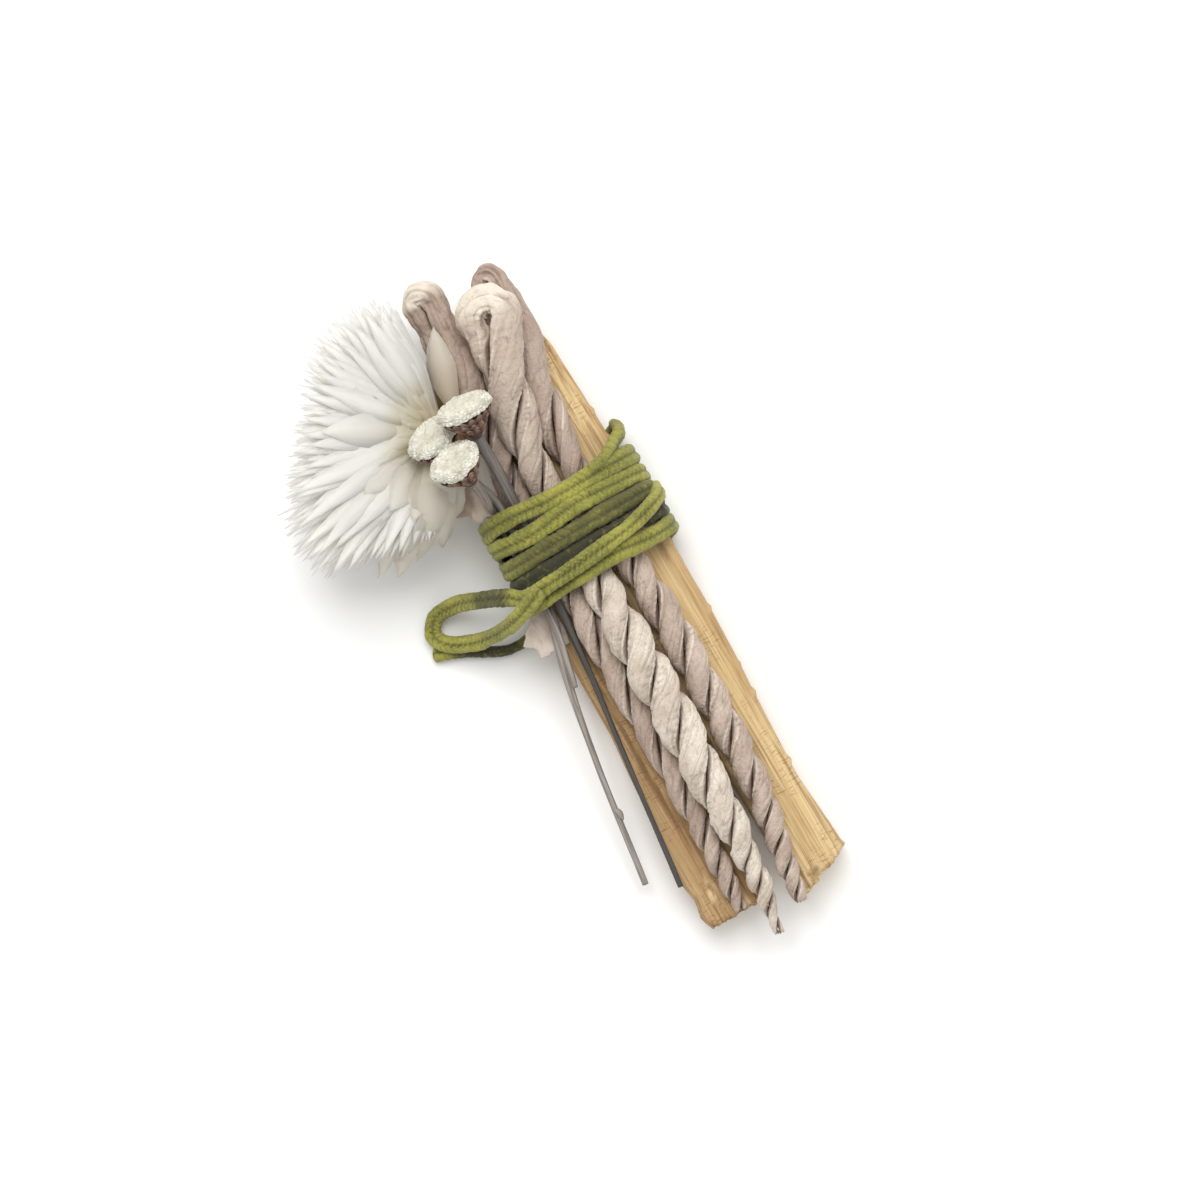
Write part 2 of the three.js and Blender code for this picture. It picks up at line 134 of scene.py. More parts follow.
def skin(name, rings, runs, marks=None):  # a closed tube over rows of rings, with a fan over each end
    count, sides = rings.shape[:2]
    points = np.vstack([rings.reshape(-1, 3), rings[0].mean(0), rings[-1].mean(0)])
    at = np.arange(count * sides).reshape(count, sides)
    after = np.roll(at, -1, axis=1)
    quads = np.stack([at[:-1], after[:-1], after[1:], at[1:]], axis=-1).reshape(-1, 4)
    ends = [(count * sides, b, a) for a, b in zip(at[0].tolist(), after[0].tolist())]
    ends += [(count * sides + 1, a, b) for a, b in zip(at[-1].tolist(), after[-1].tolist())]
    around = np.arange(sides) / sides
    beyond = around + 1 / sides
    u = np.tile(np.stack([around, beyond, beyond, around], axis=-1), (count - 1, 1, 1))
    v = np.broadcast_to(np.stack([runs[:-1], runs[:-1], runs[1:], runs[1:]], axis=-1)[:, None], u.shape)
    endUv = np.zeros((2 * sides, 3, 2))
    endUv[sides:, :, 1] = runs[-1]
    uv = np.vstack([np.stack([u, v], axis=-1).reshape(-1, 2), endUv.reshape(-1, 2)])
    kept = {}
    for mark, values in (marks or {}).items():
        values = np.asarray(values)
        values = np.broadcast_to(values if values.ndim == 2 else values[:, None], (count, sides))
        kept[mark] = np.concatenate([values.ravel(), [values[0].mean(), values[-1].mean()]])
    piece = newMesh(name, points, quads.tolist() + ends, uv, kept)
    faceOut(piece)
    return piece


def settle(piece, slot, material, *nodes):  # the finished piece stands for its CAD nodes
    piece.data.materials.clear()
    piece.data.materials.append(material)
    piece.data.shade_smooth()
    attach(piece, "root")
    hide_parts(*nodes)


# small helpers for materials

def tone(red, green, blue):  # a colour as seen on screen, 0 to 255, as the linear colour nodes take
    return tuple(((c / 255 + 0.055) / 1.055) ** 2.4 for c in (red, green, blue)) + (1.0,)


class Wire:  # a socket that works in sums, each of which adds a Math node
    def __init__(self, look, socket):
        self.look = look
        self.socket = socket

    def sum(self, operation, first, second):
        return self.look.node("Math", {"operation": operation}, {0: first, 1: second})

    def __add__(self, other):
        return self.sum("ADD", self, other)

    def __radd__(self, other):
        return self.sum("ADD", other, self)

    def __sub__(self, other):
        return self.sum("SUBTRACT", self, other)

    def __rsub__(self, other):
        return self.sum("SUBTRACT", other, self)

    def __mul__(self, other):
        return self.sum("MULTIPLY", self, other)

    def __rmul__(self, other):
        return self.sum("MULTIPLY", other, self)


class Look:  # one material and its nodes
    def __init__(self, name):
        self.material = bpy.data.materials.new(name)
        self.material.use_nodes = True
        self.tree = self.material.node_tree
        self.tree.nodes.clear()
        self.where = self.node("TexCoord", {}, {}, "Object")

    def node(self, kind, settings, sockets, output=0):
        node = self.tree.nodes.new("ShaderNode" + kind)
        for key, value in settings.items():
            setattr(node, key, value)
        for key, value in sockets.items():
            if isinstance(value, Wire):
                self.tree.links.new(value.socket, node.inputs[key])
            else:
                node.inputs[key].default_value = value
        return Wire(self, node.outputs[output]) if len(node.outputs) else None

    def noise(self, size, stretch=(1, 1, 1), detail=3.0, source=None):  # size in mm
        source = source or self.where
        scaled = self.node("VectorMath", {"operation": "MULTIPLY"}, {0: source, 1: stretch})
        return self.node("TexNoise", {}, {"Vector": scaled, "Scale": 1 / (size * mm), "Detail": detail})

    def mark(self, name):  # a number kept at the mesh's points
        return self.node("Attribute", {"attribute_name": name}, {}, "Fac")

    def step(self, value, low, high):  # 0 at low, 1 at high, smooth between
        sockets = {"Value": value, "From Min": low, "From Max": high}
        return self.node("MapRange", {"interpolation_type": "SMOOTHSTEP"}, sockets)

    def blend(self, share, first, second):  # from the first colour to the second
        settings = {"data_type": "RGBA", "clamp_factor": True}
        return self.node("Mix", settings, {0: share, 6: first, 7: second}, 2)

    def finish(self, sockets, height=None, depth=0.1, through=None):  # depth of the fine relief in mm
        if height is not None:
            sockets["Normal"] = self.node("Bump", {}, {"Height": height, "Distance": depth * mm})
        shader = self.node("BsdfPrincipled", {}, sockets)
        if through:  # a share of the light goes through thin blades
            glow = self.node("BsdfTranslucent", {}, {"Color": through["colour"]})
            shader = self.node("MixShader", {}, {0: through["share"], 1: shader, 2: glow})
        self.node("OutputMaterial", {}, {"Surface": shader})
        return self.material


# camera, straight above, turned so that the bundle lies as in the picture

view = {
    "above": (10.22, 0.22),  # the point under the camera
    "height": 615,
    "width": 192,  # what the frame spans at the middle of the bundle
    "level": 15,
    "turn": -30,
}
bpy.ops.object.camera_add(location=(view["above"][0] * mm, view["above"][1] * mm, view["height"] * mm),
                          rotation=(0, 0, math.radians(view["turn"])))
camera = bpy.context.object
camera.data.sensor_width = 36
camera.data.lens = 36 * (view["height"] - view["level"]) / view["width"]
bpy.context.scene.camera = camera
print("camera placed")


# cord tie: a flat green braid, wound round the bundle, with a free loop and a cut tail

cord = {
    "width": 3.2,
    "thickness": 1.9,
    "freeWidth": 2.7,  # of the loop and the tail
    "stitch": 1.1,
    "slant": 0.95,  # how far a stitch leans, in stitches
    "stitchHeight": 0.15,
    "cutEnd": 0.8,  # over which a cut end is rounded
    "sides": 26,
    "step": 0.15,
    "lit": (150, 147, 62),
    "plain": (112, 111, 42),
    # colour of the painted shade on the darker stretches
    "dark": (42, 40, 27),
}


def cordLook():
    look = Look("braidedCord")
    patch = look.step(look.noise(5.0), 0.35, 0.7)
    fibre = look.noise(0.35, detail=4.0)
    colour = look.blend(patch, tone(*cord["plain"]), tone(*cord["lit"]))
    colour = look.blend(look.step(fibre, 0.35, 0.75) * 0.35, colour, tone(190, 188, 92))
    # painted shade in the recesses: darker in the groove between the ribs and between the stitches
    colour = look.blend(look.mark("foldShade") * 0.85, colour, tone(54, 53, 18))
    # painted shade over the darker stretches, broken by a few lighter flecks
    shadeBreaks = look.step(look.noise(1.1), 0.56, 0.68) * 0.35
    shadeStretch = look.mark("shadeStretch") * (1 - shadeBreaks)
    colour = look.blend(shadeStretch, colour, tone(*cord["dark"]))
    return look.finish({"Base Color": colour, "Roughness": 0.82, "Sheen Weight": 0.15}, fibre, 0.12)


def braidRings(line, wide, thick, runs, width, seed):  # two ribs of stitches and a zigzag groove
    angle = 2 * math.pi * (np.arange(cord["sides"]) + 0.5) / cord["sides"]
    cosine, sine = np.cos(angle), np.sin(angle)
    halfWide, halfThick = width / 2, cord["thickness"] / 2
    x = np.sign(cosine) * np.abs(cosine) ** 0.85 * halfWide
    z = np.sign(sine) * np.abs(sine) ** 0.6 * halfThick
    along = track(runs)
    beat = (runs + 0.3 * lumps(along, 2.2, seed)) / cord["stitch"]
    zigzag = 0.17 * (4 * np.abs(beat - np.floor(beat + 0.5)) - 1) + 0.12 * lumps(along, 5.0, seed + 1)
    off = x[None] - zigzag[:, None]
    ribs = 0.56 + 0.44 * np.abs(np.sin(math.pi * np.clip(off / halfWide, -1, 1) * 0.9)) ** 0.75
    place = np.stack([runs[:, None] + 0 * off, 1.3 * x[None] + 0 * off, 1.3 * z[None] + 0 * off], axis=-1)
    slant = beat[:, None] + cord["slant"] * np.abs(off) / halfWide + 0.5 * (off > 0)
    slant = slant + 0.3 * lumps(place, 1.4, seed + 2)
    pillow = np.abs(np.sin(math.pi * slant)) ** 0.7
    patchy = 0.55 + 0.45 * lumps(place, 3.0, seed + 3)
    swell = cord["stitchHeight"] * (pillow - 0.6) * patchy
    swell = swell + 0.1 * lumps(place, 0.9, seed + 4) + 0.12 * lumps(place, 2.4, seed + 5)
    loose = 1 + 0.09 * lumps(along, 6.0, seed + 6)
    xs = x[None] * loose[:, None] + swell * cosine[None]
    zs = z[None] * ribs + swell * sine[None]
    toEnd = np.clip((np.minimum(runs, runs[-1] - runs) + 0.05) / cord["cutEnd"], 0, 1)
    rounded = np.sqrt(toEnd * (2 - toEnd))[:, None]
    xs, zs = xs * rounded, zs * rounded
    rings = line[:, None] + xs[..., None] * wide[:, None] + zs[..., None] * thick[:, None]
    rings[..., 2] = np.maximum(rings[..., 2], 0.03)  # it lies flat where it meets the table
    # painted shade mask: the groove between the ribs and the valleys between the stitches
    groove = np.exp(-(off / 0.24) ** 2)
    foldShade = np.clip(0.9 * groove + 0.8 * patchy * (1 - ease(pillow, 0.1, 0.7)) - 1.2 * swell, 0, 1)
    return rings, foldShade


def braidFrames(line, lean):  # the flat side faces lean
    ahead = unit(np.gradient(line, axis=0))
    thick = unit(lean - np.sum(lean * ahead, axis=1, keepdims=True) * ahead)
    return np.cross(ahead, thick), thick


# gives the painted shade along the cord
def shadeAlong(places, shadeStretches, before, after):  # how dark each place is, from stretches with soft ends
    shadeStretch = np.zeros(len(places))
    for start, end, depth in shadeStretches:
        rise = ease(places, start - before, start + after)
        fall = ease(-places, -end - before, -end + before)
        shadeStretch = np.maximum(shadeStretch, depth * rise * fall)
    return shadeStretch


def rolled(wide, thick, angle):  # turns the flat cord a little about its own run
    c, s = np.cos(angle)[:, None], np.sin(angle)[:, None]
    return wide * c + thick * s, thick * c - wide * s


wraps = {
    "outline": [  # what the tie holds, seen along the sticks as x and z, from the left side over the top
        (0.5, 7.2), (0.55, 12.0), (2.0, 14.4), (6.6, 16.7), (12.4, 18.3), (18.4, 17.4), (22.2, 15.0),
        (25.0, 12.0), (25.55, 7.2), (25.4, 3.7), (24.4, 2.25), (22.0, 1.8), (12.5, 1.75), (4.0, 1.8),
        (1.7, 2.2), (0.65, 3.7),
    ],
    "left": [18.5, 15.1, 11.8, 8.5, 5.2],  # y of each turn on the left side
    "right": [22.6, 18.3, 15.0, 11.7, 8.4, 5.2],  # and on the right side
    "startLeft": 21.5,
    "tailLeft": 1.6,
    "start": 5,  # outline points at which the winding starts and ends
    "end": 11,
    "shadeStretches": [(3.12, 3.5, 0.62), (3.98, 4.5, 0.93)],  # darker stretches of painted shade where turns lie deep, in turns
}
outline = np.array(wraps["outline"])


def heldPoint(turn, out):  # a place on the held outline, pushed out, and its outward direction
    count = len(outline)
    share = turn * count
    i = int(math.floor(share))
    around = np.array([outline[(i + k) % count] for k in (-1, 0, 1, 2)])
    t = share - i
    place = around[1] + t * (around[2] - around[1])
    bend = 0.5 * t * (1 - t) * ((around[1] + around[2]) / 2 - (around[0] + around[3]) / 2) / 2
    first, second = around[2] - around[0], around[3] - around[1]
    ahead = unit(unit(first) * (1 - t) + unit(second) * t)
    outward = np.array([-ahead[1], ahead[0]])
    return place + bend + outward * out, outward


def turnHeight(turn):
    lap = int(math.floor(turn))
    share = 2 * (turn - lap)
    lefts = [wraps["startLeft"]] + wraps["left"] + [wraps["tailLeft"]]
    right = wraps["right"][lap]
    if share < 1:
        return lefts[lap] + (right - lefts[lap]) * float(ease(share, 0, 1))
    return right + (lefts[lap + 1] - right) * float(ease(share, 1, 2))


def makeWraps(material):
    knots = []
    steps = (len(wraps["right"]) - 1) * len(outline) + wraps["end"] - wraps["start"]
    for s in range(2 * steps + 1):
        turn = (wraps["start"] + s / 2) / len(outline)
        (x, z), _ = heldPoint(turn, cord["thickness"] / 2)
        knots.append((x, turnHeight(turn), z, turn))
    line, runs = smoothLine(knots, cord["step"])
    turns = line[:, 3]
    line = line[:, :3]
    along = track(runs)
    line[:, 1] += 0.4 * lumps(along, 9.0, 3)
    tucked = ease(-turns, -0.5, -0.32)  # the start comes out from under the first full turn
    line[:, 1] -= 3.4 * tucked
    ahead = unit(np.gradient(line, axis=0))
    thick = unit(np.cross(ahead, np.array([0.0, 1.0, 0.0])))
    front = np.maximum(thick[:, 2], 0)
    sunk = 0.5 * ease(turns, 3.9, 4.05) * ease(-turns, -4.5, -4.4)  # one turn lies deeper in front
    line += thick * ((0.15 * lumps(along, 11.0, 4) - sunk) * front)[:, None]
    roll = 0.26 * lumps(along, 10.0, 5) + 0.7 * ease(-turns, -0.52, -0.44)
    wide, thick = rolled(np.cross(thick, ahead), thick, roll)
    rings, foldShade = braidRings(line, wide, thick, runs, cord["width"], 1)
    shadeStretch = shadeAlong(turns, wraps["shadeStretches"], 0.03, 0.05)
    piece = skin("tieWraps", rings, runs, {"foldShade": foldShade, "shadeStretch": shadeStretch})
    settle(piece, "cord", material, "tie_wraps")


loop = {
    "free": [  # from the knot round the free loop and back under it
        (2.7, 6.5, 20.2), (0.6, 5.4, 19.5), (-2.8, 4.2, 16.4), (-7, 3.8, 9.8), (-11.5, 4.6, 4.9),
        (-14.9, 6.4, 3.2), (-16.2, 8.8, 1.7), (-14.6, 11.1, 1.5), (-11, 11.3, 4.3), (-6, 9.6, 10.2),
        (-2.2, 7.8, 14.6),
    ],
    # then over the turns: share of the outline, y and how far out
    "over": {"start": 0.125, "end": 0.47, "steps": 7, "low": 6.3, "high": 11.4, "out": 2.85, "endOut": 2.0},
    "length": 87,
    "shadeStretches": [(43, 51, 0.75)],  # painted shade on the loop near its bend, mm along it
}
tail = {
    "route": [
        (21.2, 4.1, 0.92), (12.5, 2.9, 0.92), (4, 1.8, 0.92), (-0.9, 0.9, 0.95), (-3.5, 0.5, 0.98),
        (-6.6, 0.6, 0.98), (-10, 2.1, 0.98), (-13.5, 4.1, 0.98), (-18, 6.1, 0.98),
    ],
    "onEdge": (0, 0, 0, 0.3, 1, 1, 1, 0.9, 0.2),  # how far it stands on its edge at each point
    "length": 41,
    # painted shade where the tail runs under the loop, mm along it
    "shadeStretches": [(26, 37, 0.92)],
}


def makeFreeCord(name, knots, facts, material, node, seed):
    line, runs = smoothLine(knots, cord["step"])
    wide, thick = braidFrames(line[:, :3], unit(line[:, 3:6]))
    rings, foldShade = braidRings(line[:, :3], wide, thick, runs, cord["freeWidth"], seed)
    shadeStretch = shadeAlong(runs, facts["shadeStretches"], 1.5, 1.5)
    piece = skin(name, rings, runs, {"foldShade": foldShade, "shadeStretch": shadeStretch})
    settle(piece, "cord", material, node)
    path = [tuple(float(c) for c in p * mm) for p in line[::8, :3]]
    print(name, "is", round(float(runs[-1]), 1), "mm long")


def makeLoop(material):
    knots = [(*p, 0, 0, 1) for p in loop["free"]]
    over = loop["over"]
    for s in range(over["steps"] + 1):
        share = s / over["steps"]
        tuck = float(ease(share, 0.7, 1.0))  # its end is tucked in
        out = over["out"] + (over["endOut"] - over["out"]) * tuck
        (x, z), outward = heldPoint(over["start"] + share * (over["end"] - over["start"]), out)
        y = over["low"] + (over["high"] - over["low"]) * share ** 2
        knots.append((x, y, z, outward[0], 0, outward[1]))
    makeFreeCord("tieLoop", knots, loop, material, "tie_loop", 2)


def makeTail(material):
    knots = []
    for (x, y, z), edge in zip(tail["route"], tail["onEdge"]):
        lift = 0.35 * (cord["freeWidth"] - cord["thickness"]) * edge
        knots.append((x, y, z + lift, -0.35 * edge, 1.2 * edge, 1 - 0.95 * edge))
    makeFreeCord("tieTail", knots, tail, material, "tie_tail", 3)


greenCord = cordLook()
makeLoop(greenCord)
makeTail(greenCord)
makeWraps(greenCord)
print("tie made")


# paper ropes: each a paper tube folded in half to a loop and twisted on itself

ropes = {
    "rope_left": {
        "line": [  # x, y, z and half the width, from the tip to where the loop opens
            (5.0, -54.3, 9.9, 1.0), (5.4, -49, 10.6, 1.7), (5.9, -42, 11.0, 2.0), (6.5, -30, 11.6, 2.4),
            (6.7, -14, 12.1, 2.6), (6.8, -1, 12.5, 2.6), (6.7, 6, 12.4, 2.4), (6.7, 20, 12.4, 2.4),
            (7.6, 29, 12.7, 2.9), (9.2, 44, 12.7, 3.7),
        ],
        "crossings": [37, 27, 18, 9, 0, -10, -20, -30, -38, -43.5, -48.3, -52.3],  # y
        "bend": (9.4, 55.4, 12.7),
        "facing": (0.36, 0.62),  # quarter turns at the bend and where the loop opens
        "bendWidth": 1.75,
        "strand": 1.75,
        # darker tones than the front rope: partly the paper's own tone, partly painted shade, as this rope
        # lies lower on the shaded left
        "shadeTone": (134, 114, 102),
        "plainTone": (166, 146, 132),
        "upperTone": (152, 132, 118),  # above the tie
        "lightTone": (190, 172, 157),
        "seed": 11,
    },
    "rope_front": {
        "line": [
            (8.5, -60.5, 9.9, 0.8), (8.9, -57, 10.4, 1.2), (9.7, -53, 11.3, 1.9), (9.9, -48, 12.6, 2.1),
            (10.5, -42, 14.4, 2.8), (10.6, -35, 15.8, 3.2), (11.0, -27, 16.8, 3.5), (11.3, -16, 17.4, 3.6),
            (11.3, -6, 17.1, 3.5), (11.5, 0, 16.2, 3.1), (11.6, 6, 15.0, 2.5), (11.7, 20, 15.0, 2.5),
            (12.4, 28, 16.4, 3.2), (16.3, 43.5, 17.8, 4.3),
        ],
        "crossings": [38, 26, 17, 7.5, -2.5, -11, -18.8, -28, -37.5, -44.7, -49.5, -53.8, -58],
        "bend": (17.4, 47.9, 18.2),
        "facing": (0.14, 0.42),
        "bendWidth": 2.75,
        "strand": 2.1,
        # paler tones than the other ropes: partly the paper's own tone, partly painted light, as this rope
        # lies highest
        "shadeTone": (160, 142, 128),
        "plainTone": (198, 183, 167),
        "upperTone": (174, 155, 140),
        "lightTone": (224, 214, 199),
        "seed": 12,
    },
    "rope_right": {
        "line": [
            (14.1, -57.6, 11.0, 1.2), (14.9, -52, 11.7, 1.8), (15.9, -46, 12.1, 2.1),
            (17.0, -38, 12.6, 2.5),
            (17.7, -26, 13.2, 2.8), (18.0, -8, 13.8, 3.0), (17.7, 2, 13.8, 2.6), (17.4, 20, 13.6, 2.5),
            (17.9, 29, 13.6, 2.9), (20.4, 43, 12.9, 3.4),
        ],
        "crossings": [34.5, 22, 14, 6.5, -1, -9, -17.5, -25.2, -32.7, -40.3, -45.6, -49.9, -53.9],
        "bend": (20.4, 53.2, 12.5),
        "facing": (0.3, 0.55),
        "bendWidth": 1.6,
        "strand": 1.7,
        "shadeTone": (140, 119, 107),
        "plainTone": (172, 151, 137),
        "upperTone": (166, 146, 132),
        "lightTone": (198, 181, 166),
        "seed": 13,
    },
}
strand = {
    "offset": 0.44,  # shares of the rope's half width
    "radius": 0.56,
    "flat": 1.22,
    "gap": 0.1,
    "soft": 0.07,  # how softly two strands press flat on each other
    "sides": 64,
    "step": 0.29,
}
crease = {  # heights in mm, in the twist and what the loose loop adds
    "pleat": 0.17,
    "dent": 0.18,
    "seam": 0.2,
    "crumple": (0.1, 0.3),
    "broad": (0.26, 0.75),
    "fine": (0.12, 0.26),
}


def paperLook(name, rope):
    look = Look(name)
    cloud = look.step(look.noise(6.0, detail=2.0), 0.3, 0.7)
    fibre = look.noise(0.28, detail=5.0)
    colour = look.blend(cloud, tone(*rope["plainTone"]), tone(*rope["lightTone"]))
    height = look.node("SeparateXYZ", {}, {0: look.where}, "Y")
    colour = look.blend(look.step(height, 2 * mm, 24 * mm) * 0.65, colour, tone(*rope["upperTone"]))
    colour = look.blend(look.step(fibre, 0.38, 0.72) * 0.35, colour, tone(*rope["shadeTone"]))
    streak = look.step(look.noise(0.9, (1, 0.3, 1), 3.0), 0.45, 0.75)
    colour = look.blend(streak * 0.3, colour, tone(*rope["shadeTone"]))
    colour = look.blend(look.mark("pale") * 0.75, colour, tone(230, 221, 204))
    colour = look.blend(look.mark("ridge") * 0.7, colour, tone(232, 222, 208))
    # painted shade in the creases, the pleat valleys and where the two strands press together
    colour = look.blend(look.mark("foldShade") * 0.8, colour, tone(88, 67, 56))
    speck = look.step(look.noise(0.7, detail=1.0), 0.7, 0.76) * 0.3
    colour = look.blend(speck, colour, tone(135, 112, 98))
    dented = look.node("Math", {"operation": "ABSOLUTE"}, {0: look.noise(1.3, detail=3.0) - 0.5})
    relief = dented * 1.6 + fibre * 0.3
    return look.finish({"Base Color": colour, "Roughness": 0.66, "Specular IOR Level": 0.4}, relief, 0.27)


def strandRows(rope, side):  # middles, directions and sizes of one strand, from its tip to the hairpin
    opening = np.array(rope["line"][-1])
    toBend = np.array(rope["bend"]) - opening[:3]
    knots = list(rope["line"]) + [(*(opening[:3] + share * toBend), opening[3]) for share in (0.5, 1.0)]
    rows, _ = smoothLine(knots, strand["step"])
    middle, half = rows[:, :3], rows[:, 3]
    ahead = unit(np.gradient(middle, axis=0))
    right = unit(np.array([1.0, 0.0, 0.0]) - ahead[:, :1] * ahead)
    front = np.cross(right, ahead)
    heights = np.array([rope["bend"][1], opening[1]] + rope["crossings"])
    quarters = np.array(list(rope["facing"]) + [1 + 2 * i for i in range(len(rope["crossings"]))], float)
    heights = np.append(heights, heights[-1] - 6)  # the twist goes on past the tip
    quarters = np.append(quarters, quarters[-1] + 2 * 6 / (heights[-3] - heights[-2]))
    turn = math.pi / 2 * np.interp(middle[:, 1], heights[::-1], quarters[::-1])
    limb = ease(middle[:, 1], opening[1], rope["bend"][1])
    out = side * (np.cos(turn)[:, None] * right + np.sin(turn)[:, None] * front)
    across = -np.sin(turn)[:, None] * right + np.cos(turn)[:, None] * front
    offset = half * strand["offset"] * (1 - limb) + rope["bendWidth"] * limb
    deep = half * strand["radius"] * (1 - limb) + rope["strand"] * limb
    broad = half * strand["radius"] * strand["flat"] * (1 - limb) + rope["strand"] * limb
    return [middle, out, across, offset, deep, broad, limb]


def makeRope(name, rope):
    angle = 2 * math.pi * (np.arange(strand["sides"]) + 0.5) / strand["sides"]
    parts = []
    for side in (1, -1):
        part = strandRows(rope, side)
        parts.append(part if side > 0 else [p[::-1] for p in part])
    bendSteps = int(math.pi * rope["bendWidth"] / strand["step"]) + 8
    sweep = np.linspace(0, math.pi, bendSteps + 2)[1:-1]
    sideOut, bendAcross = parts[0][1][-1], parts[0][2][-1]
    bendOut = np.cos(sweep)[:, None] * sideOut + np.sin(sweep)[:, None] * np.cross(bendAcross, sideOut)
    flatBend = np.ones(bendSteps)
    bend = [np.tile(rope["bend"], (bendSteps, 1)), bendOut, np.tile(bendAcross, (bendSteps, 1)),
            rope["bendWidth"] * flatBend, rope["strand"] * flatBend, rope["strand"] * flatBend, flatBend]
    whole = [np.concatenate(p) for p in zip(parts[0], bend, parts[1])]
    middle, out, across, offset, deep, broad, loose = whole
    crown = np.concatenate([np.zeros(len(parts[0][0])), np.sin(sweep), np.zeros(len(parts[1][0]))])
    crown = np.convolve(crown, np.ones(9) / 9, mode="same")[:, None]
    loose = loose[:, None]
    centre = middle + out * offset[:, None]
    runs = np.concatenate([[0], np.cumsum(np.linalg.norm(np.diff(centre, axis=0), axis=1))])
    seed = rope["seed"]
    cosine, sine = np.cos(angle)[None], np.sin(angle)[None]
    plain = np.stack([runs[:, None] + 0 * cosine, 2.2 * np.cos(angle) + 0 * runs[:, None],
                      2.2 * np.sin(angle) + 0 * runs[:, None]], axis=-1)
    size = (deep / 2.0)[:, None]
    patchy = ease(lumps(plain, np.array([5.0, 2.5, 2.5]), seed), -0.5, 0.4)
    turned = np.abs((angle + math.pi) % (2 * math.pi) - math.pi)
    edge = np.exp(-((turned - 1.65) / 0.6) ** 2)[None]
    wander = lumps(plain, np.array([6.0, 1.6, 1.6]), seed + 1)
    pleat = np.abs(np.sin(math.pi * (runs[:, None] / 0.95 + 0.55 * np.sin(angle)[None] + 1.1 * wander)))
    broadCrease = np.abs(lumps(plain, np.array([5.0, 1.7, 1.7]), seed + 2))
    fineCrease = np.abs(lumps(plain + 3.1, np.array([2.4, 0.8, 0.8]), seed + 3))
    dents = lumps(plain, np.array([6.5, 2.6, 2.6]), seed + 4)
    crumple = np.abs(lumps(plain, 1.7, seed + 6)) + 0.6 * np.abs(lumps(plain, 0.95, seed + 7)) - 0.5
    lift = crease["pleat"] * (pleat - 0.7) * edge * patchy * (1 - loose)
    lift = lift + crease["dent"] * dents * (1 + loose)
    for kind, wave in (("crumple", crumple), ("broad", broadCrease - 0.3), ("fine", fineCrease - 0.3)):
        twisted, added = crease[kind]
        lift = lift + (twisted + added * loose) * wave
    ridge = 0
    for start, drift in ((1.75, 0.35), (4.6, 0.5)):  # raised edges of the paper, along the strand
        seamAngle = start + drift * lumps(np.stack([runs, 0 * runs + start], axis=-1), 14.0, seed + 5)
        seam = ((angle[None] - seamAngle[:, None]) / (2 * math.pi)) % 1.0
        lift = lift + crease["seam"] * np.exp(-seam / 0.06) * (1 - 0.7 * loose)
        ridge = ridge + np.exp(-seam / 0.022) * (1 - 0.7 * loose)
    lift = lift * size
    flatCos = np.sign(cosine) * np.abs(cosine) ** 0.78
    flatSin = np.sign(sine) * np.abs(sine) ** 0.9
    reach = offset[:, None] + deep[:, None] * flatCos + lift * cosine
    floor = strand["gap"] - 0.6 * loose
    reach = floor + strand["soft"] * np.logaddexp(0, (reach - floor) / strand["soft"])
    shift = broad[:, None] * flatSin + lift * sine
    rings = middle[:, None] + reach[..., None] * out[:, None] + shift[..., None] * across[:, None]
    for end in (0, -1):  # frayed tips
        fray = 0.5 * lumps(np.stack([3 * np.cos(angle), 3 * np.sin(angle)], axis=-1), 0.8, seed + end)
        rings[end, :, 1] -= np.abs(fray)
    # painted shade: darker along crease valleys, pleat valleys and where the two strands press on each
    # other
    furrowShade = np.maximum(ease(-broadCrease, -0.09, 0.0), 0.6 * ease(-fineCrease, -0.1, 0.0))
    pressShade = ease(-(reach - floor), -0.5, -0.1)
    pleatShade = 0.5 * edge * patchy * ease(-pleat, -0.4, -0.05) * (1 - loose)
    foldShade = np.clip(pleatShade + 0.5 * furrowShade + 0.95 * pressShade, 0, 1)
    ridge = np.clip(ridge, 0, 1)
    pale = np.clip(crown * 1.5 * ease(dents + 0.8 * broadCrease, -0.1, 0.45), 0, 1)  # paler on the raised bumps round each loop's crown
    piece = skin(name.replace("_", "") + "Twist", rings, runs, {"foldShade": foldShade, "ridge": ridge, "pale": pale})
    settle(piece, "paper", paperLook(name.replace("_", "") + "Paper", rope), name)


for name, rope in ropes.items():
    makeRope(name, rope)
print("ropes made")


# split wood sticks

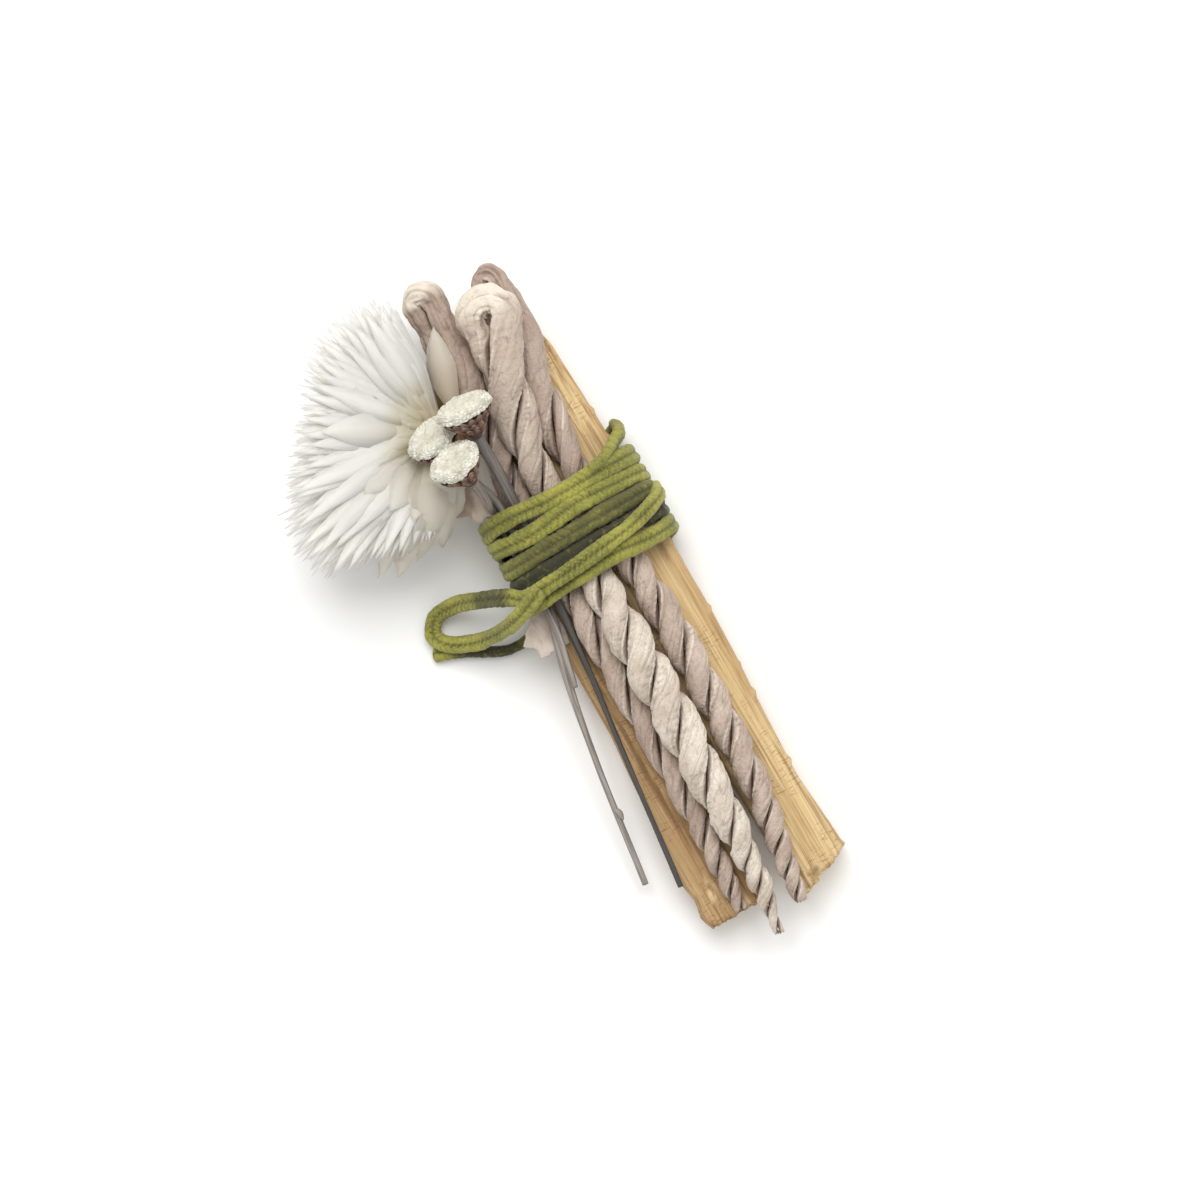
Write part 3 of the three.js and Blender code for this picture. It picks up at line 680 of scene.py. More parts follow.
sticks = {
    "stick_left": {
        "left": [(-54.8, -0.4), (-53, -1.3), (-50, -0.6), (-47, -1.2), (-40, -0.7), (-27, 0.3), (-20, 0.9),
                 (-3, 1.0), (24, 1.4), (46.5, 2.6)],  # y and x of the edges
        "right": [(-54.8, 9.7), (-30, 10.3), (-12, 10.8), (24, 11.2), (46.5, 11.0)],
        "under": [(-54.8, 0), (-12, 0), (-1.5, 2.1), (24, 2.2), (46.5, 3.0)],  # y and z
        "top": [(-54.8, 8.2), (-30, 8.7), (-12, 9.2), (24, 9.9), (46.5, 9.0)],
        "ends": (-54.8, 46.5),
        "slant": 0.0,
        "teeth": 0.12,
        # darker, greyer tones than the right stick: partly its own wood, partly painted shade, as it lies
        # lower on the shaded left
        "lightTone": (198, 172, 128),
        "plainTone": (168, 140, 98),
        "darkTone": (104, 76, 48),
        # this edge lies left of the whole stick, so all of it is browner: partly its own wood, partly
        # painted shade
        "brownEdge": (-4.0, -3.0),
        "splinters": (2.2, -49.4),
        "seed": 21,
    },
    "stick_right": {
        "left": [(-56, 14.4), (-30, 13.9), (-12, 13.5), (24, 13.3), (48, 13.8)],
        "right": [(-56, 24.8), (-54, 24.6), (-50, 24.4), (-40, 23.7), (-30, 24.1), (-20, 24.6), (-10, 24.9),
                  (5, 25.0), (25, 24.6), (35, 24.3), (40, 24.1), (43, 23.4), (48, 22.6)],
        "under": [(-56, 0), (-12, 0), (-1.5, 2.1), (24, 2.2), (48, 3.2)],
        "top": [(-56, 9.4), (-30, 9.9), (-12, 10.4), (24, 10.8), (48, 9.0)],
        "ends": (-55.9, 48),
        "slant": 1.9,
        "teeth": 0.6,
        "lightTone": (220, 195, 147),
        "plainTone": (197, 167, 117),
        "darkTone": (136, 100, 62),
        "brownEdge": (22.6, 24.6),
        "knot": (18.4, -55.2),
        "seed": 22,
    },
}
stickCuts = (26, 340, 20)  # cuts across, along and up each stick


def woodLook(name, stick):
    look = Look(name)
    grain = look.noise(0.5, (1, 0.02, 1), 6.0)
    bands = look.noise(1.7, (1, 0.025, 1), 3.0)
    lines = look.noise(0.24, (1, 0.012, 1), 2.0)
    pores = look.step(look.noise(0.22, (1, 0.09, 1), 2.0), 0.62, 0.75)
    colour = look.blend(look.step(bands, 0.3, 0.7), tone(*stick["plainTone"]), tone(*stick["lightTone"]))
    colour = look.blend(look.step(grain, 0.46, 0.72) * 0.75, colour, tone(*stick["darkTone"]))
    colour = look.blend(look.step(lines, 0.55, 0.7) * 0.4, colour, tone(*stick["darkTone"]))
    colour = look.blend(look.step(lines, 0.5, 0.3) * 0.25, colour, tone(240, 218, 172))
    colour = look.blend(pores * 0.35, colour, tone(*stick["darkTone"]))
    sawn = look.step(look.noise(0.5, (0.35, 1.7, 0.35), 2.0), 0.54, 0.66)
    sawn = sawn * look.step(look.noise(8.0), 0.44, 0.58)
    colour = look.blend(sawn * 0.6, colour, tone(*stick["darkTone"]))
    place = look.node("SeparateXYZ", {}, {0: look.where})
    edge = look.step(place, stick["brownEdge"][0] * mm, stick["brownEdge"][1] * mm)
    colour = look.blend(edge * 0.4, colour, tone(150, 106, 62))
    colour = look.blend(look.mark("split") * 0.75, colour, tone(104, 70, 40))
    colour = look.blend(look.mark("torn") * 0.7, colour, tone(236, 212, 165))
    return look.finish({"Base Color": colour, "Roughness": 0.7, "Specular IOR Level": 0.3}, grain, 0.16)


def spot(place, middle, size):  # 1 at the middle, fading out over the size in x and y
    return np.exp(-((place[:, 0] - middle[0]) / size[0]) ** 2 - ((place[:, 1] - middle[1]) / size[1]) ** 2)


def makeStick(name, stick):
    bpy.ops.object.select_all(action="DESELECT")
    bpy.ops.mesh.primitive_cube_add(size=1)
    piece = bpy.context.object
    piece.name = name.replace("_", "") + "Wood"
    bpy.ops.object.mode_set(mode="EDIT")
    bpy.ops.mesh.select_mode(type="EDGE")
    for axis, cuts in enumerate(stickCuts):
        bpy.ops.mesh.select_all(action="DESELECT")
        shape = bmesh.from_edit_mesh(piece.data)
        for edge in shape.edges:
            way = edge.verts[1].co - edge.verts[0].co
            edge.select_set(abs(way[axis]) > 1e-5)
        bmesh.update_edit_mesh(piece.data)
        bpy.ops.mesh.subdivide(number_cuts=cuts)
    bpy.ops.object.mode_set(mode="OBJECT")
    mesh = piece.data
    square = 2 * pointsOf(mesh)
    seed = stick["seed"]
    low, high = stick["ends"]
    y = low + (high - low) * (square[:, 1] + 1) / 2
    faces = ("left", "right", "under", "top")
    left, right, under, top = [np.interp(y, *np.array(stick[face]).T) for face in faces]
    power = 7.0  # how square the section is
    flatX, flatZ = square[:, 0], square[:, 2]
    biggest = np.maximum(np.abs(flatX), np.abs(flatZ))
    norm = (np.abs(flatX) ** power + np.abs(flatZ) ** power) ** (1 / power)
    shrink = np.where(norm > 1e-6, biggest / np.maximum(norm, 1e-6), 1)
    x = (left + right) / 2 + flatX * shrink * (right - left) / 2
    z = (under + top) / 2 + flatZ * shrink * (top - under) / 2
    place = np.stack([x, y, z], axis=-1)
    outX = np.sign(flatX) * np.abs(flatX * shrink) ** (power - 1)
    outZ = np.sign(flatZ) * np.abs(flatZ * shrink) ** (power - 1)
    outward = unit(np.stack([outX, 0 * outX, outZ], axis=-1)) * (biggest > 0.999)[:, None]
    fibres = lumps(place, np.array([0.9, 26, 0.9]), seed)
    facets = lumps(place, np.array([2.8, 48, 2.8]), seed + 1)
    split = ease(lumps(place, np.array([1.0, 30, 1.0]), seed + 2), 0.45, 0.8)
    lift = np.minimum(0.16 * fibres + 0.28 * facets - 0.4 * split, 0.3)
    place += outward * lift[:, None]
    along = track(y)
    rightRim = ease(flatX, 0.9, 1.0) * ease(flatZ, -0.3, 0.3)
    teeth = ease(lumps(along, 0.65, seed + 3), 0.1, 0.9) * ease(lumps(along, 3.0, seed + 4), -0.6, 0.4)
    place[:, 0] += stick["teeth"] * teeth * rightRim
    cut = np.stack([x, z], axis=-1)
    ragged = 0.5 * lumps(cut, 1.6, seed + 5) + 0.35 * lumps(cut, 0.6, seed + 6)
    nearEnd = ease(-square[:, 1], 0.94, 1.0)
    place[:, 1] += nearEnd * (ragged + stick["slant"] * flatX)
    place[:, 1] += ease(square[:, 1], 0.94, 1.0) * ragged
    place[:, 2] = np.maximum(place[:, 2], 0.02)
    pale = 0
    if "splinters" in stick:  # torn fibres that stand up
        pale = spot(place, stick["splinters"], (1.0, 2.6)) * ease(flatZ, 0.5, 0.9)
        pale = pale * ease(lumps(place, np.array([0.5, 1.6, 2.0]), seed + 7), -0.1, 0.4)
        place[:, 2] += 0.4 * pale
    if "knot" in stick:  # a brown hollow at the lower end
        hollow = spot(place, stick["knot"], (1.1, 0.8)) * ease(flatZ, 0, 0.8)
        place[:, 2] -= 0.7 * hollow
        split = np.maximum(split, ease(hollow, 0.2, 0.7))
    movePoints(mesh, place)
    torn = np.maximum(nearEnd * ease(ragged, 0.0, 0.5) * 0.8 + 0.4 * rightRim * teeth, pale)
    keepMarks(mesh, {"split": split, "torn": torn})
    settle(piece, "wood", woodLook(name.replace("_", "") + "Grain", stick), name)


for name, stick in sticks.items():
    makeStick(name, stick)
print("sticks made")


# everlasting flower: rows of papery bracts spreading from one base

flower = {
    "base": (1.4, 36.4, 14.2),
    "facing": 160,
    "sideSpread": 81,
    "reach": [19.3, 25, 31, 28.5, 23.5, 22.2, 23.8, 24.5, 22],  # of tips, from tie to loops
    "layers": [  # long white bracts from the table up: count, tilt, arch, shortest and longest reach, width
        (26, -24, -18, 0.88, 0.98, 3.2),
        (30, -16, -12, 0.90, 1.00, 3.0),
        (34, -9, -4, 0.92, 1.02, 2.6),
        (36, -3, 4, 0.92, 1.03, 2.4),
        (36, 3, 12, 0.90, 1.03, 2.4),
        (36, 8, 20, 0.90, 1.02, 2.6),
        (36, 12, 27, 0.90, 1.01, 2.8),
        (34, 15, 32, 0.88, 1.00, 3.0),
        (34, 17, 35, 0.84, 0.99, 3.2),
        (32, 19, 38, 0.78, 0.97, 3.4),
        (30, 20.5, 40, 0.68, 0.94, 3.6),
        (34, 5, 14, 0.98, 1.04, 1.9),  # thin ones that stand out at the rim
        (30, 14, 30, 0.96, 1.02, 2.0),
    ],
    "outer": [  # shorter, broader bracts over them: tip x and y, width and how beige
        (-14.6, 45.4, 6.0, 0.22), (-13.8, 33.4, 6.2, 0.50), (-11.6, 29.0, 6.4, 0.60),
        (-9.2, 25.8, 6.2, 0.75),
        (-5.0, 25.8, 5.6, 0.85), (-8.2, 33.4, 6.0, 0.55), (-7.4, 38.4, 6.2, 0.35), (-6.0, 44.0, 6.0, 0.20),
        (-1.0, 46.0, 6.0, 0.22),
    ],
    "dome": 42.5,  # tilt at which the outer bracts leave the base
    "ragged": [  # torn beige bracts by the tie: tip x, y and z, width and arch
        (-16.2, 19.6, 12.5, 4.8, 5.5), (-12.0, 20.4, 14.5, 5.4, 5.5), (-7.5, 19.9, 15.0, 5.4, 5.5),
        (-3.6, 23.0, 15.0, 5.4, 5.5), (-14.0, 22.0, 15.5, 5.0, 5.5), (-9.5, 21.6, 16.5, 5.6, 5.5),
        (-18.8, 21.4, 12.0, 4.0, 5.5), (-5.5, 24.0, 16.5, 5.6, 5.5), (4.6, 21.6, 12.5, 5.4, 0.6),
    ],
    "overRope": [(5.4, 38.6, 17.6), (6.2, 42.6, 17.3), (7.4, 47.0, 16.8), (8.9, 51.2, 16.2)],
    "thickness": 0.1,
    "steps": 9,
    "across": 3,
    "seed": 31,
}


def bractLook():
    look = Look("paperyBract")
    run = look.node("UVMap", {"uv_map": "run"}, {}, "UV")
    split = look.node("SeparateXYZ", {}, {0: run}, "Y")
    veins = look.noise(1.0, (0.02, 0.0006, 0), 3.0, run)
    colour = look.blend(look.step(split, 0.02, 0.42), tone(228, 214, 172), tone(254, 254, 252))
    beige = look.blend(look.step(split, 0.1, 0.9), tone(190, 174, 148), tone(228, 221, 206))
    colour = look.blend(look.mark("beige"), colour, beige)
    colour = look.blend(look.mark("tint") * 0.18, colour, tone(234, 229, 214))
    colour = look.blend(look.step(veins, 0.45, 0.75) * 0.12, colour, tone(196, 188, 170))
    through = {"colour": tone(255, 254, 251), "share": 0.6}
    sockets = {"Base Color": colour, "Roughness": 0.5, "Specular IOR Level": 0.35}
    return look.finish(sockets, veins, 0.09, through)


def bractGrid(line, lean, width, cup, sharp):  # a pointed blade along a line, its outside towards lean
    share = np.linspace(0, 1, len(line))
    ahead = unit(np.gradient(line, axis=0))
    normal = unit(lean - np.sum(lean * ahead, axis=1, keepdims=True) * ahead)
    side = np.cross(ahead, normal)
    foot = np.minimum(1, 0.42 + 1.25 * share)
    tip = 1 - np.clip((share - 0.4) / 0.6, 0, 1) ** sharp
    half = width / 2 * foot * tip + 0.035
    spread = np.linspace(-1, 1, flower["across"])
    grid = line[:, None] + side[:, None] * (half[:, None] * spread)[..., None]
    return grid + normal[:, None] * (cup * half[:, None] * (1 - spread ** 2))[..., None]


def fanLine(dice, fan, tilt, reach, arch):  # a bract's line; fan goes from the loops, -1, to the tie, 1
    share = np.linspace(0, 1, flower["steps"])
    heading = flower["facing"] + flower["sideSpread"] * fan
    tilts = np.radians(tilt + arch * (0.5 - share) + dice.uniform(-4, 4) * (share - 0.3))
    headings = np.radians(heading + dice.uniform(-7, 7) * (share - 0.3))
    level = np.cos(tilts)
    ways = np.stack([level * np.cos(headings), level * np.sin(headings), np.sin(tilts)], axis=-1)
    walked = np.vstack([[0, 0, 0], np.cumsum(ways[:-1], axis=0)])
    out = 4.2 * float(ease(tilt, 8, 22))  # the upper ones start further out
    start = out * np.array([math.cos(headings[0]), math.sin(headings[0]), 0.2])
    line = np.array(flower["base"]) + start + walked * (reach - out) / np.linalg.norm(walked[-1, :2])
    line[:, 2] = 0.45 + np.logaddexp(0, (line[:, 2] - 0.45) / 0.6) * 0.6  # none goes through the table
    roll = dice.normal(0, 0.1)
    sideways = np.array([-math.sin(headings[0]), math.cos(headings[0]), 0])
    lean = np.array([0, 0, math.cos(roll) * (1 if tilt > -16 else -1)]) + sideways * math.sin(roll)
    return line, np.tile(lean, (len(share), 1))


def bladeFaces(at):  # the faces between the rows and columns of many blades
    corners = [at[:, :-1, :-1], at[:, :-1, 1:], at[:, 1:, 1:], at[:, 1:, :-1]]
    return np.stack(corners, axis=-1).reshape(-1, 4)


def makeFlower():
    dice = np.random.default_rng(flower["seed"])
    base = np.array(flower["base"])
    share = np.linspace(0, 1, flower["steps"])
    grids, beiges, tints = [], [], []

    def reachAt(fan):
        return float(np.interp((1 - fan) / 2, np.linspace(0, 1, len(flower["reach"])), flower["reach"]))

    def grow(fan, tilt, reach, width, arch, beige, sharp):
        if fan < -0.7:
            tilt = max(tilt, -10)  # clear of the left stick
        line, lean = fanLine(dice, fan, tilt, reach, arch)
        grids.append(bractGrid(line, lean, width, dice.uniform(0.02, 0.13), sharp))
        beiges.append(beige)
        tints.append(dice.uniform(0, 1) ** 2)

    for layer, (count, tilt, arch, low, high, width) in enumerate(flower["layers"]):
        for k in range(count):
            fan = (2 * (k + (layer % 3) / 3 + dice.uniform(-0.3, 0.3)) + 0.4) / count - 1
            fan = float(np.clip(fan, -1, 1))
            beige = 0.2 * float(ease(fan, 0.1, 0.7)) * dice.uniform(0.3, 1)
            shorter = 1 - 0.14 * float(ease(fan, 0.45, 0.7))  # torn off by the tie
            grow(fan, tilt + dice.uniform(-1.2, 1.2), reachAt(fan) * dice.uniform(low, high) * shorter,
                 width * dice.uniform(0.85, 1.15), arch, beige, dice.uniform(1.3, 1.9))
    for x, y, width, beige in flower["outer"]:
        heading = math.degrees(math.atan2(y - base[1], x - base[0])) % 360
        fan = (heading - flower["facing"]) / flower["sideSpread"]
        reach = math.hypot(x - base[0], y - base[1])
        arch = flower["dome"] * reach / reachAt(fan)  # so that they lie close on the layers below
        grow(fan, flower["dome"] - arch / 2, reach, width, arch, beige, 1.8)
    for x, y, z, width, arch in flower["ragged"]:
        line = base + (np.array([x, y, z]) - base) * (share[:, None] * 0.85 + 0.15)
        line[:, 2] += arch * np.sin(math.pi * share)
        lean = np.tile([dice.uniform(-0.3, 0.3), dice.uniform(-0.3, 0.3), 1.0], (len(share), 1))
        blade = bractGrid(line, lean, width, dice.uniform(-0.1, 0.3), 4.5)
        torn = dice.normal(0, 0.55, flower["across"])[:, None] * unit(line[-1] - line[-2])
        blade[-1] += torn
        blade[-2] += 0.6 * torn
        grids.append(blade)
        beiges.append(dice.uniform(0.55, 0.95))
        tints.append(dice.uniform(0.3, 1))
    overLine, _ = smoothLine(flower["overRope"], 0.5)
    overLine = overLine[np.linspace(0, len(overLine) - 1, len(share)).round().astype(int)]
    grids.append(bractGrid(overLine, np.tile([-0.25, 0, 1.0], (len(share), 1)), 5.2, 0.2, 1.7))
    beiges.append(0.95)
    tints.append(0.2)
    grids = np.array(grids)
    count, rows, columns = grids.shape[:3]
    at = np.arange(count * rows * columns).reshape(count, rows, columns)
    quads = bladeFaces(at)
    u = np.linspace(0, 1, columns)[None, None] + 3.0 * np.arange(count)[:, None, None]  # veins of its own
    u = np.broadcast_to(u, at.shape)
    v = np.broadcast_to(share[None, :, None], at.shape)
    uv = np.stack([u, v], axis=-1).reshape(-1, 2)[quads.ravel()]
    marks = {"beige": np.repeat(beiges, rows * columns), "tint": np.repeat(tints, rows * columns)}
    piece = newMesh("flowerBracts", grids.reshape(-1, 3), quads.tolist(), uv, marks)
    thicken(piece, flower["thickness"])
    settle(piece, "bract", bractLook(), "flower_head")


def thicken(piece, thickness):  # gives thin blades their two sides
    bpy.ops.object.select_all(action="DESELECT")
    bpy.context.view_layer.objects.active = piece
    piece.select_set(True)
    bpy.ops.object.modifier_add(type="SOLIDIFY")
    piece.modifiers[-1].thickness = thickness * mm
    piece.modifiers[-1].offset = 0
    bpy.ops.object.modifier_apply(modifier=piece.modifiers[-1].name)


def addBlades(piece, grids, marks, thickness):  # joins thin blades to a piece
    at = np.arange(grids[..., 0].size).reshape(grids.shape[:3])
    quads = bladeFaces(at)
    blades = newMesh("blades", grids.reshape(-1, 3), quads.tolist(), np.zeros((quads.size, 2)), marks)
    thicken(blades, thickness)
    bpy.ops.object.select_all(action="DESELECT")
    blades.select_set(True)
    piece.select_set(True)
    bpy.context.view_layer.objects.active = piece
    bpy.ops.object.join()


makeFlower()
print("flower made")


# button flowers: a granular cap on a scaly cup

buttons = {
    "upper": {"at": (6.7, 36.2, 26.4), "facing": (0.05, 0.92, 0.39), "radius": 4.7, "seed": 41},
    "middle": {"at": (0.1, 35.0, 20.6), "facing": (-0.15, 0.8, 0.58), "radius": 4.4, "seed": 42},
    "lower": {"at": (1.4, 29.6, 27.6), "facing": (-0.15, 0.8, 0.58), "radius": 4.3, "seed": 43},
}
cap = {"florets": 330, "bump": 0.28}
cup = {
    "depth": 4.3,
    "gap": 0.3,
    "profile": [(0.3, -3.3), (0.45, -2.5), (0.6, -1.75), (0.75, -1.05)],  # share of the radius, and depth
    "scales": (9, 12, 15, 17),  # in each row
    "scaleThickness": 0.14,
}


def capLook():
    look = Look("floretCap")
    cloud = look.step(look.noise(2.6), 0.35, 0.65)
    colour = look.blend(cloud, tone(212, 208, 192), tone(236, 234, 222))
    colour = look.blend(look.mark("middle") * 0.4, colour, tone(190, 186, 162))
    # painted shade in the gaps between the florets
    colour = look.blend(look.mark("pitShade") * 0.6, colour, tone(128, 118, 98))
    speck = look.step(look.noise(0.5, detail=1.0), 0.64, 0.7) * 0.5
    colour = look.blend(speck, colour, tone(150, 136, 108))
    return look.finish({"Base Color": colour, "Roughness": 0.92}, look.noise(0.2, detail=4.0), 0.12)


def cupLook():
    look = Look("scalyCup")
    cloud = look.step(look.noise(1.2), 0.35, 0.65)
    colour = look.blend(cloud, tone(56, 35, 30), tone(104, 68, 58))
    colour = look.blend(look.mark("tip") * 0.7, colour, tone(176, 150, 128))
    return look.finish({"Base Color": colour, "Roughness": 0.75}, look.noise(0.25, detail=4.0), 0.1)


def uprightTo(facing):  # columns: two directions across the button and the way it faces
    facing = unit(np.array(facing, float))
    side = unit(np.cross([0.3, 0.2, 1.0], facing))
    return np.stack([side, np.cross(facing, side), facing], axis=1)


def makeCap(name, button, material):
    bpy.ops.object.select_all(action="DESELECT")
    bpy.ops.mesh.primitive_ico_sphere_add(subdivisions=6, radius=1)
    piece = bpy.context.object
    piece.name = "button" + name.capitalize() + "Cap"
    mesh = piece.data
    ball = pointsOf(mesh)
    radius, seed = button["radius"], button["seed"]
    polar = np.arccos(np.clip(ball[:, 2], -1, 1))
    r = np.sin(polar) ** 0.85
    upper = np.where(ball[:, 2] > 0, 1.0, 0.0)
    steep = np.abs(ball[:, 2])
    height = np.where(upper > 0, 0.85 + 1.1 * steep ** 0.7, 0.85 - 0.85 * steep ** 0.5)
    height -= upper * 0.5 * np.exp(-(r / 0.55) ** 2)
    around = np.arctan2(ball[:, 1], ball[:, 0])
    circle = np.stack([np.cos(around), np.sin(around)], axis=-1)
    wave = 1 + 0.06 * lumps(circle, 0.6, seed) + 0.035 * lumps(circle, 0.2, seed + 1)
    wide = r * radius * wave
    place = np.stack([wide * np.cos(around), wide * np.sin(around), height], axis=-1)
    place[:, 2] += upper * 0.25 * lumps(place, 2.4, seed + 2)
    k = np.arange(cap["florets"]) + 0.5  # florets in spirals, as seed heads grow
    dice = np.random.default_rng(seed)
    spin = 2.39996 * k + dice.uniform(-0.3, 0.3, len(k)) / np.sqrt(k / len(k))
    seat = np.arccos(1 - 1.25 * k / cap["florets"]) + dice.uniform(-0.04, 0.04, len(k))
    seats = np.stack([np.sin(seat) * np.cos(spin), np.sin(seat) * np.sin(spin), np.cos(seat)], axis=-1)
    nearest = np.sort(((ball[:, None] - seats[None]) ** 2).sum(-1), axis=1)[:, :2] ** 0.5
    bump = np.clip((nearest[:, 1] - nearest[:, 0]) / 0.07, 0, 1) ** 0.6
    rim = 0.35 + 0.65 * ease(r, 0.55, 0.9)
    outward = unit(np.stack([ball[:, 0], ball[:, 1], 1.6 * ball[:, 2]], axis=-1))
    grain = 0.2 * lumps(place, 0.9, seed + 3) + 0.12 * lumps(place, 0.4, seed + 4)
    place += outward * ((bump - 0.6) * cap["bump"] * rim + grain)[:, None]
    place = np.array(button["at"]) + place @ uprightTo(button["facing"]).T
    movePoints(mesh, place)
    # painted shade between the florets, strongest on the top
    pitShade = (1 - bump) * rim * (0.4 + 0.6 * ease(ball[:, 2], -0.5, 0.2))
    keepMarks(mesh, {"pitShade": pitShade, "middle": upper * ease(-r, -0.75, -0.4)})
    settle(piece, "button", material, "button_cap_" + name)


def makeCup(name, button, material):
    dice = np.random.default_rng(button["seed"])
    radius, frameOf = button["radius"], uprightTo(button["facing"])
    profile = [(0.75, 0.1 - cup["depth"])] + [(share * radius, deep) for share, deep in cup["profile"]]
    profile = np.array(profile + [(0.83 * radius, -cup["gap"])])
    depth = np.linspace(profile[0, 1], profile[-1, 1], 22)
    wide = np.interp(depth, profile[:, 1], profile[:, 0])
    angle = 2 * math.pi * np.arange(40) / 40
    rings = np.stack([wide[:, None] * np.cos(angle), wide[:, None] * np.sin(angle),
                      depth[:, None] + 0 * angle], axis=-1)
    rings += rings * np.array([1, 1, 0]) * (0.06 * lumps(rings, 0.8, button["seed"]))[..., None]
    rings = np.array(button["at"]) + rings @ frameOf.T
    core = skin("button" + name.capitalize() + "Cup", rings, depth, {"tip": np.zeros(len(depth))})
    grids, tips = [], []
    share = np.linspace(0, 1, 5)
    for row, count in enumerate(cup["scales"]):
        low = profile[0, 1] + 0.2 + 0.85 * row
        for i in range(count):
            around = 2 * math.pi * (i + 0.5 * (row % 2) + dice.uniform(-0.2, 0.2)) / count
            depths = low + share * dice.uniform(1.2, 1.7)
            out = np.interp(depths, profile[:, 1], profile[:, 0]) + 0.08
            out = out + 0.28 * share ** 2 * dice.uniform(0.3, 1.2)
            line = np.stack([out * math.cos(around), out * math.sin(around), depths], axis=-1)
            lean = np.tile([math.cos(around), math.sin(around), -0.4], (len(share), 1))
            blade = bractGrid(line, lean, 2.2 * math.pi * out[2] / count, 0.15, 1.8)
            grids.append(np.array(button["at"]) + blade @ frameOf.T)
            tips.append(np.broadcast_to((share ** 3)[:, None], blade.shape[:2]))
    addBlades(core, np.array(grids), {"tip": np.array(tips).ravel()}, cup["scaleThickness"])
    settle(core, "cup", material, "button_cup_" + name)


floretCap, scalyCup = capLook(), cupLook()
for name, button in buttons.items():
    makeCap(name, button, floretCap)
    makeCup(name, button, scalyCup)
print("buttons made")


# stalks: thin fluted stems from the flowers down through the tie

stalks = {
    "flower_stem": {
        "route": [  # x, y, z and radius
            (2.6, 34.6, 13.9, 0.7), (3.3, 29, 12.5, 0.6), (3.15, 22, 11.0, 0.55), (3.05, 16, 10.95, 0.55),
            (3.0, 5, 10.95, 0.6), (1.9, 0.5, 11.5, 0.75), (0.3, -4.5, 11.3, 0.75), (-1.1, -10, 10.2, 0.6),
            (-2.5, -17, 8.8, 0.5), (-4.0, -26, 7.0, 0.5), (-6.5, -43.6, 4.0, 0.5),
        ],
        "dark": [(0, 0.1), (200, 0.1)],  # mm along and how dark
        "flute": 0.2,
        "flake": {"line": [(-4.75, -30.0, 6.5), (-4.3, -31.2, 6.75), (-4.35, -32.6, 6.5)], "width": 0.9},
    },
    "button_stem_upper": {
        "route": [
            (6.35, 32.2, 23.6, 0.9), (6.4, 25.5, 18.9, 0.9), (6.3, 22.5, 16.9, 0.85), (6.1, 20, 15.75, 0.7),
            (5.9, 16, 15.5, 0.55), (5.2, 10, 15.0, 0.55), (4.4, 5, 14.2, 0.6), (3.8, -1, 12.9, 0.6),
            (2.7, -11, 10.9, 0.45), (1.4, -21, 10.2, 0.4), (0.2, -31, 9.9, 0.4), (-0.8, -40, 9.7, 0.44),
            (-1.6, -46.4, 9.5, 0.42),
        ],
        "dark": [(0, 0.45), (20, 0.55), (32, 0.85), (200, 0.95)],
        "flute": 0.3,
    },
    "button_stem_middle": {
        "route": [
            (1.1, 29.6, 16.9, 0.6), (2.6, 26, 15.6, 0.6), (3.6, 23, 14.5, 0.6), (3.9, 20.5, 14.1, 0.55),
            (3.5, 16, 13.7, 0.5), (3.3, 5, 12.9, 0.5),
        ],
        "dark": [(0, 0.15), (100, 0.15)],
        "flute": 0.2,
    },
    "button_stem_lower": {
        "route": [
            (2.3, 26.0, 23.6, 0.65), (2.5, 22.6, 17.2, 0.6), (2.2, 20.2, 13.4, 0.55),
            (2.05, 16, 12.45, 0.5),
            (2.05, 5, 12.45, 0.5), (1.7, -1, 12.9, 0.5), (0.6, -6.5, 12.3, 0.5), (-0.2, -10, 11.5, 0.4),
        ],
        "dark": [(0, 0.1), (100, 0.25)],
        "flute": 0.2,
    },
    "twig_between": {
        "route": [
            (12.2, 39, 6.5, 0.55), (12.2, 10, 6.3, 0.55), (12.3, -15, 6.2, 0.55), (12.6, -34, 6.5, 0.55),
            (13.0, -41, 6.7, 0.5),
        ],
        "dark": [(0, 1.0), (100, 1.0)],
        "flute": 0.15,
    },
}


def stalkLook():
    look = Look("dryStalk")
    run = look.node("UVMap", {"uv_map": "run"}, {}, "UV")
    streak = look.noise(1.0, (0.012, 0.00012, 0), 4.0, run)
    colour = look.blend(look.step(streak, 0.35, 0.65), tone(124, 116, 109), tone(170, 161, 153))
    colour = look.blend(look.mark("dark"), colour, tone(44, 42, 40))
    colour = look.blend(look.step(streak, 0.62, 0.8) * 0.5, colour, tone(52, 46, 42))
    return look.finish({"Base Color": colour, "Roughness": 0.7}, streak, 0.1)


